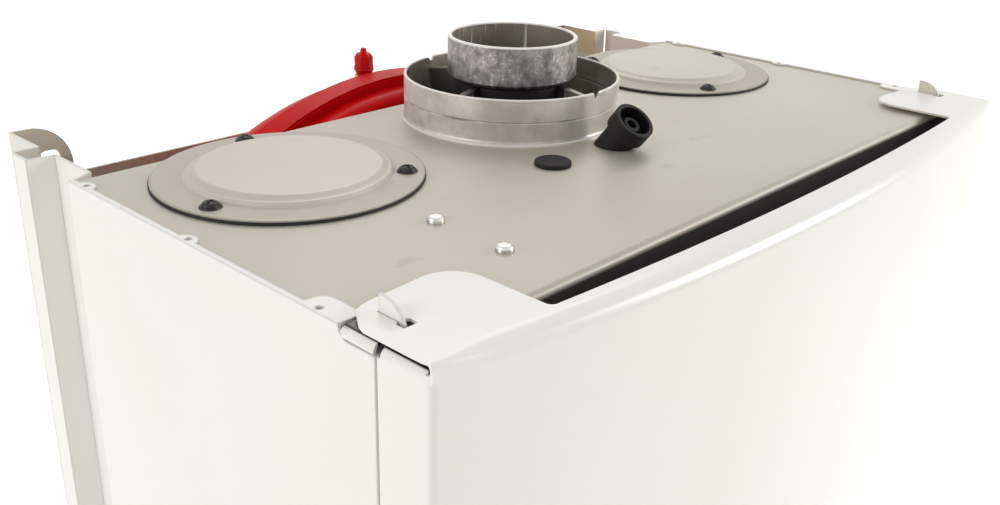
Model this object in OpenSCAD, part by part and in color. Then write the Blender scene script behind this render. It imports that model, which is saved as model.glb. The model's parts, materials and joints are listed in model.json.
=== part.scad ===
// Wall-hung gas boiler with a concentric flue outlet on its steel top.
// The origin is midway between the two hanging slots, on the wall plane.
// X points right, the front faces -Y, the wall is the plane y = 0 and Z points up.

/* [Case] */
// Width over the side panels
case_w = 400; // [390:1:416]
// Height from the bottom edge to the steel top
case_h = 730; // [722:1:760]
// Depth from the wall to the corners of the front cover
case_d = 285; // [282:1:292]
// How far the front cover bows out past its corners
front_bow = 17; // [10:1:24]
// Radius of the upright corners of the cover
corner_r = 6; // [4:0.5:9]
// Thickness of the case and frame sheet
sheet = 1; // [0.8:0.1:1.2]
// Gap between sheet parts that lie side by side
slip = 0.3; // [0.2:0.05:0.4]

/* [Wall frame] */
// Distance between the two hanging slots
hang_pitch = 346; // [340:1:350]
// Width of a hanging slot
hang_slot_w = 7; // [6:0.5:9]
// Length of a hanging slot, end to end
hang_slot_len = 10; // [9:0.5:13]
// Drop from the steel top to the hanging slots
hang_drop = 15; // [13:0.5:18]
// Width over the two upright members
frame_w = 378; // [376:1:380]
// Depth of an upright member
member_d = 28; // [24:1:32]
// Width of an ear round its slot
ear_w = 26.6; // [25:0.2:30]
// Height of a cross rail
rail_h = 40; // [30:1:50]
// Height of the pipe shelf above the bottom edge
shelf_rise = 32; // [30:1:40]
// Depth of the pipe shelf
shelf_d = 152; // [145:1:160]

/* [Side panels] */
// Depth of a side panel, wall to seam
panel_d = 262; // [258:1:266]
// Width of the front fold of a side panel
fold_w = 12; // [11:0.5:14]
// Depth of the upright grip channel
grip_d = 11.5; // [6:0.5:12]
// Distance from the wall to the rear step of the grip channel
grip_rear = 42; // [38:1:44]
// Length of the channel floor
grip_floor = 31; // [20:1:32]
// Pitch of the screw lobes along the top flange
lobe_pitch = 72; // [60:1:76]
// Height of the hook lug above the steel top
lug_rise = 9; // [7:0.5:12]

/* [Front cover] */
// Height of the control panel under the cover
fascia_h = 113; // [108:1:125]
// Height of the cover's top flange above the steel top
flange_rise = 3; // [2.5:0.5:5]
// Width of the top flange at the middle
flange_w = 13; // [11:1:18]
// Width of a hook tab
tab_w = 50; // [40:1:60]
// Reach of a hook tab back from the cover corner
tab_reach = 43; // [38:1:46]
// Gap between moving and fixed sheet
run_gap = 0.4; // [0.3:0.1:0.8]

/* [Chamber] */
// Height of the sealed chamber
chamber_h = 395; // [390:1:400]
// Distance from the wall to the chamber
chamber_y = 80; // [79:1:83]
// Depth of the steel top over the chamber
top_d = 191; // [188:1:195]
// Outside radius of the steel top's front bend
bend_r = 3; // [2:0.5:5]
// Drop of the steel top's front lip
lip_drop = 15; // [8:1:20]

/* [Flue] */
// Left to right place of the flue axis
flue_x = -2; // [-6:0.5:2]
// Distance from the wall to the flue axis
flue_y = 129; // [125:1:133]
// Outside diameter of the air collar
collar_od = 103; // [98:0.5:106]
// Height of the air collar
collar_h = 21.2; // [16:0.1:26]
// Wall of the air collar
collar_wall = 1.4; // [1:0.1:2]
// Outside diameter of the flue spigot
spigot_od = 61.5; // [58:0.5:64]
// Wall of the flue spigot
spigot_wall = 2; // [1.5:0.1:3]
// Height of the spigot's rim above the steel top
spigot_rise = 39.5; // [34:0.5:46]
// Height of the spigot's lower edge above the steel top
spigot_foot = 20.5; // [16:0.5:24]

/* [Air covers] */
// Diameter of an air cover
disc_d = 108; // [100:1:112]
// Left to right distance from the middle to a cover
disc_x = 132.5; // [130:0.5:136]
// Distance from the wall to the covers
disc_y = 130; // [128:1:133]
// Diameter of the raised middle
dome_d = 82; // [70:1:84]
// Height of the raised middle
dome_h = 3.6; // [2:0.2:6]
// Thickness of the gasket under a cover
gasket_t = 1.2; // [0.8:0.1:2]
// Radius of the screw circle
disc_screw_r = 46.7; // [45:0.1:49]

/* [Expansion vessel] */
// Diameter over the crimped ring
vessel_d = 340; // [330:1:346]
// Left to right place of the vessel
vessel_x = -15; // [-20:1:-10]
// Drop from the steel top to the vessel axis
vessel_drop = 161.8; // [160:0.2:168]
// Depth of the vessel
vessel_t = 67; // [60:1:69]

/* [Fan] */
// Outside diameter of the fan wheel
wheel_d = 86; // [78:1:88]
// Width of the fan wheel
wheel_w = 36; // [30:1:38]
// Number of fan blades
blade_n = 24; // [18:1:28]
// Depth of the fan housing
fan_t = 50; // [48:1:54]
// Diameter of the fan inlet
inlet_d = 62; // [50:1:66]
// Diameter of the motor
motor_d = 64; // [54:1:70]

/* [Burner and heat exchanger] */
// Width of the combustion box
box_w = 250; // [246:1:260]
// Height of the combustion box
box_h = 136; // [130:1:140]
// Thickness of the fibre boards
fibre_t = 11; // [8:1:12]
// Number of exchanger fins
fin_n = 30; // [20:1:34]
// Height of the fin block
fin_h = 56; // [50:1:60]
// Outside diameter of the water tubes
tube_d = 16; // [14:0.5:18]
// Number of burner blades
burner_n = 12; // [9:1:12]
// Pitch of the burner blades
burner_pitch = 18; // [17:0.5:18]

/* [Water side] */
// Pitch of the five pipe tails
tail_pitch = 65; // [62:1:66]
// Distance from the wall to the tails
tail_y = 110; // [108:1:114]
// Length of the tails below the case
tail_drop = 20; // [14:1:40]
// Outside radius of the three-quarter inch tails
tail_big_r = 13.2; // [12:0.1:14]
// Outside radius of the half inch tails
tail_small_r = 10.5; // [9.5:0.1:11]
// Diameter of the water and gas pipes
pipe_d = 18; // [15:1:20]
// Radius of the pipe bends
pipe_bend = 20; // [16:1:24]
// Diameter of the pump motor
pump_d = 84; // [76:1:90]

/* [Controls] */
// Diameter of a control knob
knob_d = 32; // [28:1:34]
// Distance from the middle to a knob
knob_x = 62; // [58:1:68]
// Diameter of the pressure gauge
gauge_d = 40; // [34:1:44]
// Distance from the middle to the gauge
gauge_x = 135; // [130:1:140]
// Diameter of a push button
button_d = 10; // [8:0.5:12]
// Wall of the plastic control panel
shell_t = 2.5; // [2:0.25:3]
// Gap round a shaft that turns in its bore
shaft_gap = 0.05; // [0.03:0.01:0.08]

/* [Hidden] */
$fn = 64;

half = case_w / 2;
top_z = hang_drop;
bottom_z = top_z - case_h;
frame_half = frame_w / 2;
ear_x = hang_pitch / 2;
shelf_z = bottom_z + shelf_rise;
shelf_t = 1.5;
inner_half = half - sheet;
cover_low = bottom_z + 4 + fascia_h;
seam_y = -panel_d;
steel_half = inner_half - slip;
steel_front = -(chamber_y + top_d);
chamber_low = top_z - chamber_h;
shell_front = seam_y + fold_w + 1.5;
flue = [flue_x, -flue_y, top_z];
vessel_z = top_z - vessel_drop;
vessel_r = vessel_d / 2;
vessel_back = -8;
vessel_front = vessel_back - vessel_t;
ring_y = -52;
ring_w = 16;
fan = [30, -(flue_y + fan_t / 2), top_z - 75];
fan_back = fan.y + fan_t;
tube_n = 5;
tube_pitch = 22;
scroll_r0 = wheel_d / 2 + 3;
scroll_r1 = wheel_d / 2 + 18;
duct_top = top_z - 22;
neck_r = spigot_od / 2 - 7.2;
nipple_x = fan.x + 62;
hood_top = fan.z - scroll_r1 - 4;
fins_top = top_z - 165;
box_top = fins_top - fin_h;
box_low = box_top - box_h;
hx_z = (fins_top + box_top) / 2;
hx_end = box_w / 2 + 5;
hx_first_y = -tail_y;
hx_last_y = hx_first_y - (tube_n - 1) * tube_pitch;
box_back = -90;
box_front = -222;
burner_low = box_low - 32;
manifold_y = -236;
manifold_z = box_low - 20;
block_low = shelf_z;
block_z = shelf_z + 28;
plate_back = -35;
plate_front = -75;
flow_x = -2 * tail_pitch;
return_x = 2 * tail_pitch;
pump_y = -tail_y;
pump_r = pump_d / 2;
pump_z = shelf_z + 138;
pivot = [0, -226, bottom_z + 7];
fascia_low = bottom_z + 2;
fascia_top = cover_low - 2;
fascia_back = seam_y - 1.5;
panel_mid = (fascia_low + fascia_top) / 2;
board_y = -(case_d - 3);
dial_floor = -(case_d + 5);

riser_x = 152;
plug_at = [-44, -192.5];
nozzle_at = [-4, -193.5];
top_screw_at = [[-124, -206], [-125, -241]];
disc_screw_angles = [[-163, -43, 78], [-121, 0, 117]];
sight = [0, 0, box_low + 12];
valve_y = -34;
cap_low = top_z + 5;
vessel_wall = 1.6;
grip_slant = 6;
port_x = 40;
electrode_x = [-38, -26, 30];
electrode_z = box_low + 10;
switch_at = [inner_half - slip - sheet, -200, top_z - 75];
hose_top = top_z - 14;
gas_y = -tail_y;
gas_valve_low = shelf_z + 160;
gas_valve_h = 78;
plate_x = 78;
port_top = block_z + 66;
plate_low = shelf_z + 12;
plate_h = 84;
flow_top = shelf_z + 100;
relief_y = -tail_y - 30;
fill_x = return_x - 32;
fill_r = 8;
fill_low = shelf_z - 14;
box_z = [fascia_low + shell_t + slip, fascia_top - shell_t - slip];
knob_pocket_r = knob_d / 2 + 3;
gauge_pocket_r = gauge_d / 2 + 2.5;
button_x = 16;
button_z = panel_mid - 16;
window_z = [panel_mid + 10, panel_mid + 32];
window_w = 26;
wall_y = -(case_d + front_bow);

// Direction and outline helpers
function unit(v) = v / norm(v);
function right_of(v) = [v.y, -v.x];
function mitre(p, i, t) =
  i == 0 ? t * right_of(unit(p[1] - p[0]))
  : i == len(p) - 1 ? t * right_of(unit(p[i] - p[i - 1]))
  : let (a = right_of(unit(p[i] - p[i - 1])), b = right_of(unit(p[i + 1] - p[i])))
    t * (a + b) / (1 + a * b);
function strip(p, t) = concat(p, [for (i = [len(p) - 1:-1:0]) p[i] + mitre(p, i, t)]);
function arc(c, r, a0, a1, n = 6) =
  [for (i = [0:n]) let (a = a0 + (a1 - a0) * i / n) c + r * [cos(a), sin(a)]];
function bow_r(w, rise) = (w * w + rise * rise) / (2 * rise);

function disc_screw_places() = [for (s = [0, 1]) for (a = disc_screw_angles[s])
  [(2 * s - 1) * disc_x + disc_screw_r * cos(a), -disc_y + disc_screw_r * sin(a)]];

module span(x, y, z) {
  translate([x[0], y[0], z[0]]) cube([x[1] - x[0], y[1] - y[0], z[1] - z[0]]);
}

// A cylinder from one point to another
module rod(a, b, r) {
  d = b - a;
  translate(a)
    rotate([0, acos(d.z / norm(d)), atan2(d.y, d.x)])
      cylinder(r = r, h = norm(d));
}

// Two mirrored copies, left and right
module both() {
  children();
  mirror([1, 0, 0]) children();
}

// A quarter turn of pipe at corner p, from direction a into direction b
module elbow(p, a, b, r, bend) {
  c = p - bend * a + bend * b;
  n = cross(a, b);
  multmatrix([[-b.x, a.x, n.x, c.x], [-b.y, a.y, n.y, c.y], [-b.z, a.z, n.z, c.z], [0, 0, 0, 1]])
    rotate_extrude(angle = 90) translate([bend, 0]) circle(r);
}

// A pipe along points whose corners are all square
module pipe(p, r, bend) {
  last = len(p) - 1;
  for (i = [0:last - 1]) {
    d = unit(p[i + 1] - p[i]);
    rod(p[i] + (i == 0 ? 0 : bend) * d, p[i + 1] - (i == last - 1 ? 0 : bend) * d, r);
  }
  for (i = [1:last - 1])
    elbow(p[i], unit(p[i] - p[i - 1]), unit(p[i + 1] - p[i]), r, bend);
}

// The bowed plan of the case front, drawn in from its outside by inset
module front_plan(inset = 0) {
  w = half - inset;
  rc = corner_r - inset;
  r = bow_r(half, front_bow) - inset;
  cy = -(case_d + front_bow) + bow_r(half, front_bow);
  xc = w - rc;
  yc = cy - sqrt(pow(r - rc, 2) - xc * xc);
  xt = xc * r / (r - rc);
  intersection() {
    translate([0, cy]) circle(r, $fn = 360);
    translate([-xt, -2 * case_d]) square([2 * xt, 2 * case_d]);
  }
  both() translate([xc, yc]) circle(rc);
  translate([-w, yc]) square([2 * w, -yc]);
}

module back_of(y) {
  translate([-case_w, y]) square([2 * case_w, 2 * case_d]);
}

// Rear frame: two upright members, three cross rails and the pipe shelf
module rear_frame() {
  color("silver") {
    both() frame_member();
    frame_rail(top_z - 24.5);
    frame_rail(vessel_z - vessel_r - slip);
    frame_rail(shelf_z + 24);
    span([vessel_x - 40, vessel_x + 40], [ring_y - 10, 0],
      [vessel_z - vessel_r - slip - shelf_t, vessel_z - vessel_r - slip]);
    pipe_shelf();
  }
}

// Wall flange with its ear, web and front flange of the left member
module frame_member() {
  quad_r = 18.7;
  low = bottom_z + 4;
  flange = 16;
  difference() {
    union() {
      translate([-frame_half, 0, 0]) rotate([90, 0, 0]) linear_extrude(shelf_t)
        polygon(concat([[0, low], [0, top_z]],
          arc([ear_w - quad_r, top_z - quad_r], quad_r, 90, 0, 10),
          [[ear_w, top_z - 24.5 - rail_h], [flange, top_z - 34.5 - rail_h], [flange, low]]));
      span([-frame_half, -frame_half + sheet], [-member_d, 0], [low, top_z]);
      span([-steel_half, -frame_half + sheet], [-member_d - sheet, -member_d], [low, top_z]);
    }
    hang_slot();
  }
}

module hang_slot() {
  reach = (hang_slot_len - hang_slot_w) / 2;
  for (dx = [-reach, reach])
    translate([-ear_x + dx, 1, 0]) rotate([90, 0, 0])
      cylinder(d = hang_slot_w, h = shelf_t + 2);
  span([-ear_x - reach, -ear_x + reach], [-shelf_t - 1, 1], [-hang_slot_w / 2, hang_slot_w / 2]);
}

module frame_rail(z) {
  span([-frame_half + sheet, frame_half - sheet], [-shelf_t, 0], [z - rail_h, z]);
}

module pipe_shelf() {
  reach = inner_half - grip_d - 1.5;
  lip = 12;
  difference() {
    union() {
      span([-reach, reach], [-shelf_d, 0], [shelf_z - shelf_t, shelf_z]);
      span([-reach, reach], [-shelf_d, shelf_t - shelf_d], [shelf_z - lip, shelf_z]);
      both() translate([-reach, 0, 0]) rotate([90, 0, 90]) linear_extrude(shelf_t)
        polygon([[0, shelf_z], [0, shelf_z + 40], [-member_d, shelf_z + 40], [-shelf_d, shelf_z]]);
    }
    for (i = [-2:2])
      translate([i * tail_pitch, -tail_y, shelf_z - 2 * shelf_t])
        cylinder(r = tail_big_r + run_gap, h = 4 * shelf_t);
    translate([fill_x, -tail_y, shelf_z - 2 * shelf_t])
      cylinder(r = fill_r + run_gap, h = 4 * shelf_t);
  }
}

// Plan of the left side panel's outer face, from the front fold to its rear edge
function panel_path() = [
  [-half + fold_w, seam_y + fold_w - 1], [-half + fold_w, seam_y], [-half, seam_y],
  [-half, -(grip_rear + grip_floor + grip_slant)], [-half + grip_d, -(grip_rear + grip_floor)],
  [-half + grip_d, -grip_rear - 2], [-half, -grip_rear], [-half, -member_d - 2]];

module side_panel() {
  notch = 3.5;
  notch_r = 4;
  lug_x = -half + fold_w - sheet;
  difference() {
    union() {
      translate([0, 0, bottom_z]) linear_extrude(case_h) polygon(strip(panel_path(), sheet));
      panel_top_flange();
      translate([lug_x, 0, 0]) rotate([90, 0, 90]) linear_extrude(sheet) lug_outline();
      span([-inner_half, lug_x], [seam_y + sheet, seam_y + fold_w], [top_z - notch - sheet, top_z - notch]);
      rod([-inner_half, pivot.y, pivot.z], [-half + 13, pivot.y, pivot.z], 7);
      rod([-inner_half, pivot.y, pivot.z], [-half + 17, pivot.y, pivot.z], 4);
    }
    translate([-half - 1, 0, 0]) rotate([90, 0, 90]) linear_extrude(fold_w - 1)
      polygon(concat([[seam_y - 1, top_z + 3], [seam_y - 1, top_z - notch]],
        arc([seam_y + fold_w, top_z - notch + notch_r], notch_r, 270, 360, 5),
        [[seam_y + fold_w + notch_r, top_z + 3]]));
  }
}

// The narrow flange that lies on the steel top, with its three screw lobes
module panel_top_flange() {
  rear = -(grip_rear + grip_floor + grip_slant + 1);
  lobe_y = [for (i = [0:2]) rear - 10 - i * lobe_pitch];
  difference() {
    translate([0, 0, top_z]) linear_extrude(sheet) union() {
      translate([-half, seam_y + fold_w + 3]) square([2.4, rear - seam_y - fold_w - 3]);
      for (y = [lobe_y[0], lobe_y[1]]) intersection() {
        translate([-half, y]) circle(5.6);
        translate([-half, y - 8]) square([8, 16]);
      }
      polygon(concat([[-half, lobe_y[2] + 7]], arc([-half + 5, lobe_y[2] + 2], 5, 90, 0, 5),
        [[-half + 10, seam_y + fold_w + 5]], arc([-half + 6, seam_y + fold_w + 5], 4, 0, -90, 5),
        [[-half, seam_y + fold_w + 1]]));
    }
    for (y = lobe_y)
      translate([-half + 2.6, y, top_z - 1]) cylinder(d = 2.6, h = sheet + 2);
  }
}

// Side view of the fin that the cover hangs on: upright at the rear, round at the front
module lug_outline() {
  rear = seam_y + fold_w - 1;
  foot = 0.3;
  reach = rear - seam_y + 0.5;
  polygon(concat([[rear, top_z - 20], [rear, top_z + lug_rise]],
    [for (i = [1:7]) [rear - 1 - (reach - 1) * sin(90 * i / 7),
      top_z + foot + (lug_rise - foot) * cos(90 * i / 7)]],
    [[seam_y, top_z - 20]]));
}

// Front cover: bowed wall, side returns, top flange with two hook tabs, lower flange
module front_cover() {
  back = seam_y - run_gap;
  relief = 6.7;
  drop = 4;
  fold_y = [-case_d + 3, seam_y - 5];
  color("white") {
    translate([0, 0, cover_low]) linear_extrude(top_z - drop - cover_low) difference() {
      front_plan();
      front_plan(sheet);
      back_of(back);
    }
    translate([0, 0, top_z - drop]) linear_extrude(drop + flange_rise - sheet) difference() {
      front_plan();
      front_plan(sheet);
      back_of(-case_d + corner_r - relief);
    }
    both() {
      translate([0, 0, cover_low]) linear_extrude(top_z - drop - 1 - cover_low)
        translate([-half + sheet, back - sheet]) square([fold_w - 4, sheet]);
      translate([-half, fold_y[0], top_z - drop]) rotate([90, 0, 0])
        mirror([0, 0, 1]) linear_extrude(fold_y[1] - fold_y[0]) fold_profile(drop - 1);
    }
    translate([0, 0, top_z + flange_rise - sheet]) linear_extrude(sheet) cover_flange_plan();
    translate([0, 0, cover_low]) linear_extrude(sheet) difference() {
      front_plan();
      translate([0, bow_r(half, front_bow) - case_d + 2]) circle(bow_r(half, front_bow), $fn = 360);
      back_of(-case_d + 12);
    }
  }
}

// A sheet that turns inward through a quarter circle of outer radius r
module fold_profile(r) {
  intersection() {
    translate([r, 0]) difference() {
      circle(r);
      circle(r - sheet);
    }
    square(r);
  }
  translate([r, r - sheet]) square([4, sheet]);
}

// Plan of the top flange: a bowed strip with a slotted hook tab at each end
module cover_flange_plan() {
  edge_y = -(case_d + front_bow - flange_w);
  edge_r = 2100;
  edge_at = edge_y + pow(half - tab_w, 2) / (2 * edge_r);
  tab_back = -case_d + tab_reach;
  inner = half - tab_w;
  soft = 13;
  fillet = 2.5;
  difference() {
    front_plan();
    translate([0, edge_y + edge_r]) circle(edge_r, $fn = 360);
  }
  both() difference() {
    polygon(concat(
      [[inner - fillet, edge_at - 2]],
      arc([inner - fillet, edge_at + fillet], fillet, 270, 360, 4),
      arc([inner + soft, tab_back - soft], soft, 180, 86, 8),
      [[half - 14, tab_back - 2], [half - 7, tab_back - 3.6], [half - 0.2, tab_back - 15],
       [half, -case_d + 1], [half - corner_r, -case_d - 1]]));
    translate([half - fold_w - 0.4, seam_y - 2]) square([sheet + 0.8, fold_w + 1.4]);
  }
}

// Steel top: flat plate with a rounded front bend and lip, holes and corner notches
module chamber_top() {
  c = steel_front + bend_r;
  color("gainsboro") difference() {
    translate([-steel_half, 0, 0]) rotate([90, 0, 90]) linear_extrude(2 * steel_half) {
      translate([c, top_z - sheet]) square([-chamber_y - c, sheet]);
      intersection() {
        translate([c, top_z - bend_r]) difference() {
          circle(bend_r);
          circle(bend_r - sheet);
        }
        translate([steel_front, top_z - bend_r]) square(bend_r);
      }
      translate([steel_front, top_z - lip_drop]) square([sheet, lip_drop - bend_r]);
    }
    both() span([-half, -half + fold_w + 1], [steel_front - 1, seam_y + fold_w + 0.5],
      [top_z - lip_drop - 1, top_z + 1]);
    translate(flue - [0, 0, 2]) cylinder(d = collar_od - 9, h = 3);
    both() translate([disc_x, -disc_y, top_z - 2]) cylinder(d = dome_d - 4, h = 3);
    for (p = disc_screw_places()) translate([p.x, p.y, top_z - 2]) cylinder(r = 2.1, h = 3);
    for (p = [plug_at, nozzle_at]) translate([p.x, p.y, top_z - 2]) cylinder(r = 4.3, h = 3);
    for (p = top_screw_at) translate([p.x, p.y, top_z - 2]) cylinder(r = 1.6, h = 3);
  }
}

// Chamber shell: back, sides and floor in one folded sheet, with a flanged front
module chamber_shell() {
  z = [chamber_low, top_z - sheet];
  rim_x = 24;
  rim_z = 14;
  color("gainsboro") difference() {
    span([-steel_half, steel_half], [shell_front, -chamber_y], z);
    span([-steel_half + sheet, steel_half - sheet], [shell_front + sheet, -chamber_y - sheet],
      [z[0] + sheet, z[1] + 1]);
    span([-steel_half + rim_x, steel_half - rim_x], [shell_front - 1, shell_front + 2],
      [z[0] + rim_z, z[1] - rim_z]);
    both() translate([riser_x, -tail_y, z[0] - 1]) cylinder(d = pipe_d + 2, h = 3);
    translate([0, manifold_y, z[0] - 1]) cylinder(d = pipe_d + 2, h = 3);
  }
}

// The strip of sponge between the chamber and its front
module chamber_seal() {
  w = steel_half - 15;
  color("dimgray") difference() {
    span([-w, w], [shell_front - 1.5, shell_front], [chamber_low + 3, top_z - 4]);
    span([-w + 9, w - 9], [shell_front - 3, shell_front + 1], [chamber_low + 13, top_z - 14]);
  }
}

// Removable chamber front: a tray with a turned edge and a hole for the sight glass
module chamber_front() {
  w = steel_half - 13;
  y = shell_front - 1.5;
  color("gainsboro") difference() {
    union() {
      span([-w, w], [y - sheet, y], [chamber_low + 1, top_z - 2]);
      difference() {
        span([-w, w], [y - 8, y - sheet], [chamber_low + 1, top_z - 2]);
        span([-w + sheet, w - sheet], [y - 9, y], [chamber_low + 1 + sheet, top_z - 2 - sheet]);
      }
      for (z = [-1, 1])
        span([-w + 30, w - 30], [y - 4, y - sheet], [sight.z + 130 + 60 * z, sight.z + 136 + 60 * z]);
    }
    translate([sight.x, y + 1, sight.z]) rotate([90, 0, 0]) cylinder(r = 12, h = 12);
  }
}

module sight_glass() {
  y = shell_front - 1.5 - sheet;
  color("lightcyan") translate([sight.x, y, sight.z]) rotate([90, 0, 0]) {
    cylinder(r = 15, h = 2);
    translate([0, 0, -sheet - 0.5]) cylinder(r = 11.7, h = sheet + 0.5);
  }
}

// Cast air collar: small foot, straight wall with a fine groove and a thin rim with two V notches
module flue_collar() {
  ro = collar_od / 2;
  ri = ro - collar_wall;
  groove = collar_h / 2;
  rear_turn = 186;
  color("lightgray") difference() {
    translate(flue) rotate_extrude($fn = 96) polygon([
      [ri - 1.6, 0], [ro + 1, 0], [ro + 1, 0.8], [ro + 0.4, 1.3], [ro + 0.1, 2.2], [ro, 3.5],
      [ro, groove - 0.5], [ro - 0.4, groove], [ro, groove + 0.5], [ro, collar_h - 0.4],
      [ro - 0.4, collar_h], [ri + 0.3, collar_h], [ri, collar_h - 0.4], [ri, collar_h - 8],
      [ri - 1.6, 2.2]]);
    translate(flue) for (s = [0, 1]) rotate([0, 0, rear_turn * s])
      translate([0, -ro, collar_h]) rotate([90, 0, 0]) linear_extrude(6, center = true)
        scale([1, 1 - s / 4]) polygon([[-1.2, 1], [-1, 0], [-0.5, -3], [0.5, -3.2], [1.5, -2.6],
          [3.2, -0.6], [5.5, 0], [5.5, 1]]);
  }
}

// Flue spigot: round pipe end on a narrower neck, held by four cast webs
module flue_spigot() {
  ro = spigot_od / 2;
  ri = ro - spigot_wall;
  waist = ro - 3.5;
  low = -14;
  web = collar_od / 2 - collar_wall - 0.25;
  web_turn = 83;
  web_rim = collar_h - 5.7;
  color("darkgray") translate(flue) {
    rotate_extrude($fn = 96) polygon([
      [neck_r - 2, low], [neck_r, low], [neck_r, -6], [waist, -3], [waist, spigot_foot - 1.5],
      [ro - 1.2, spigot_foot], [ro, spigot_foot + 1.2], [ro, spigot_rise - 0.5],
      [ro - 0.5, spigot_rise], [ri + 0.5, spigot_rise], [ri, spigot_rise - 0.5],
      [ri, spigot_foot + 3], [waist - 2, spigot_foot + 1], [waist - 2, -2.4], [neck_r - 2, -5.4]]);
    for (a = [0:90:270]) rotate([0, 0, a - web_turn])
      intersection() {
        span([waist - 1, web + 1], [-1.6, 1.6], [2.4, spigot_foot - 1]);
        rotate_extrude($fn = 96) polygon([[0, 2.2], [web - 1.6, 2.2], [web, collar_h - 8],
          [web, web_rim], [waist, spigot_foot - 1], [0, spigot_foot]]);
      }
  }
}

// Pressed air cover: flat rim, rounded shoulder and raised middle
module air_cover(side) {
  t = 0.8;
  r = disc_d / 2;
  d = dome_d / 2;
  z0 = gasket_t;
  color("lightgray") difference() {
    translate([side * disc_x, -disc_y, top_z]) rotate_extrude($fn = 96)
      polygon(concat([[0, z0 + dome_h], [d - 5, z0 + dome_h]],
        [[d - 3, z0 + dome_h - 0.5], [d - 0.8, z0], [r, z0], [r, z0 + t], [d, z0 + t]],
        [[d - 2.4, z0 + dome_h + t - 0.6], [d - 3.6, z0 + dome_h + t - 0.1],
         [d - 5, z0 + dome_h + t], [0, z0 + dome_h + t]]));
    for (p = disc_screw_places()) translate([p.x, p.y, top_z + z0 - 1]) cylinder(r = 2.1, h = 4);
  }
}

module cover_gaskets() {
  color("black") difference() {
    both() translate([disc_x, -disc_y, top_z]) cylinder(d = disc_d + 0.6, h = gasket_t);
    both() translate([disc_x, -disc_y, top_z - 1]) cylinder(d = dome_d - 2, h = gasket_t + 2);
    for (p = disc_screw_places()) translate([p.x, p.y, top_z - 1]) cylinder(r = 2.1, h = 4);
  }
}

module pan_head(r, h) {
  rotate_extrude($fn = 32) polygon(concat([[0, 0], [r, 0]], arc([r - h * 0.8, h * 0.2], h * 0.8, 0, 90, 4),
    [[0, h]]));
}

module air_cover_screws() {
  z = top_z + gasket_t + 0.8;
  color("black") for (p = disc_screw_places()) translate([p.x, p.y, z]) {
    cylinder(r = 4.3, h = 0.7);
    translate([0, 0, 0.7]) pan_head(3.5, 2.2);
    translate([0, 0, -8]) cylinder(r = 1.9, h = 8);
  }
}

module top_screws() {
  color("silver") for (p = top_screw_at) translate([p.x, p.y, top_z]) {
    pan_head(3.4, 2.4);
    translate([0, 0, -7]) cylinder(r = 1.5, h = 7);
  }
}

module test_plug() {
  color("black") translate([plug_at.x, plug_at.y, top_z]) {
    rotate_extrude($fn = 48) polygon([[0, 0], [7.9, 0], [7.9, 1.5], [7.4, 2], [0, 2.2]]);
    translate([0, 0, -4]) cylinder(r = 4, h = 4);
  }
}

// Rubber test point that leans to the front, with an inner tube in its mouth
module test_nozzle() {
  lean = 38;
  body_r = 7.5;
  ring_r = 9.4;
  reach = 10;
  ring_l = 8;
  color("black") {
    difference() {
      translate([nozzle_at.x, nozzle_at.y, top_z]) rotate([lean, 0, 0]) difference() {
        union() {
          translate([0, 0, -12]) cylinder(r = body_r, h = reach + 12);
          translate([0, 0, reach - 1.5]) cylinder(r1 = body_r, r2 = ring_r, h = 1.5);
          translate([0, 0, reach]) cylinder(r = ring_r, h = ring_l);
        }
        difference() {
          translate([0, 0, reach + 1.5]) cylinder(r = ring_r - 1.9, h = ring_l);
          cylinder(r = 4, h = reach + ring_l - 2.5);
        }
        translate([0, 0, reach - 2]) cylinder(r = 2.2, h = ring_l + 3);
      }
      span([-40, 40], [-240, -150], [top_z - 40, top_z]);
    }
    translate([nozzle_at.x, nozzle_at.y, hose_top]) cylinder(r = 4, h = top_z - hose_top + 0.5);
  }
}

// Expansion vessel: two pressed shells joined by a crimped ring, hollow, with its water port
module expansion_vessel() {
  color("red") difference() {
    union() {
      vessel_form(0);
      translate([vessel_x, ring_y, vessel_z]) rotate([90, 0, 0]) {
        cylinder(r = vessel_r - 1, h = ring_w, center = true, $fn = 128);
        cylinder(r = vessel_r, h = ring_w - 2, center = true, $fn = 128);
      }
    }
    vessel_form(vessel_wall);
    translate([port_x, ring_y, vessel_z - vessel_r - 1]) cylinder(r = 3, h = 30);
  }
}

// The two shells as one round form, drawn in from its outside by inset
module vessel_form(inset) {
  front_r = vessel_r - 5;
  rear_r = vessel_r - 6;
  front_s = 9;
  rear_s = 30;
  translate([vessel_x, 0, vessel_z]) rotate([90, 0, 0]) rotate_extrude($fn = 128) {
    translate([0, inset - vessel_back]) square([rear_r - rear_s, vessel_t - 2 * inset]);
    translate([0, -ring_y]) square([front_r - inset, -vessel_front + ring_y - front_s]);
    translate([0, -ring_y]) square([front_r - front_s, -vessel_front + ring_y - inset]);
    translate([front_r - front_s, -vessel_front - front_s]) circle(front_s - inset);
    translate([0, -vessel_back + rear_s]) square([rear_r - inset, -ring_y + vessel_back - rear_s + 1]);
    translate([rear_r - rear_s, -vessel_back + rear_s]) circle(rear_s - inset);
  }
}

// Charging valve on top of the rear shell, in front of the wall
module vessel_valve() {
  color("goldenrod") difference() {
    translate([vessel_x, valve_y, cap_low - 8]) {
      cylinder(r = 5, h = 7.7);
      cylinder(r = 3, h = 16);
    }
    vessel_form(0);
  }
}

module vessel_round() {
  translate([vessel_x, 0, vessel_z]) rotate([90, 0, 0]) cylinder(r = vessel_r, h = 100, $fn = 128);
}

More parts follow.
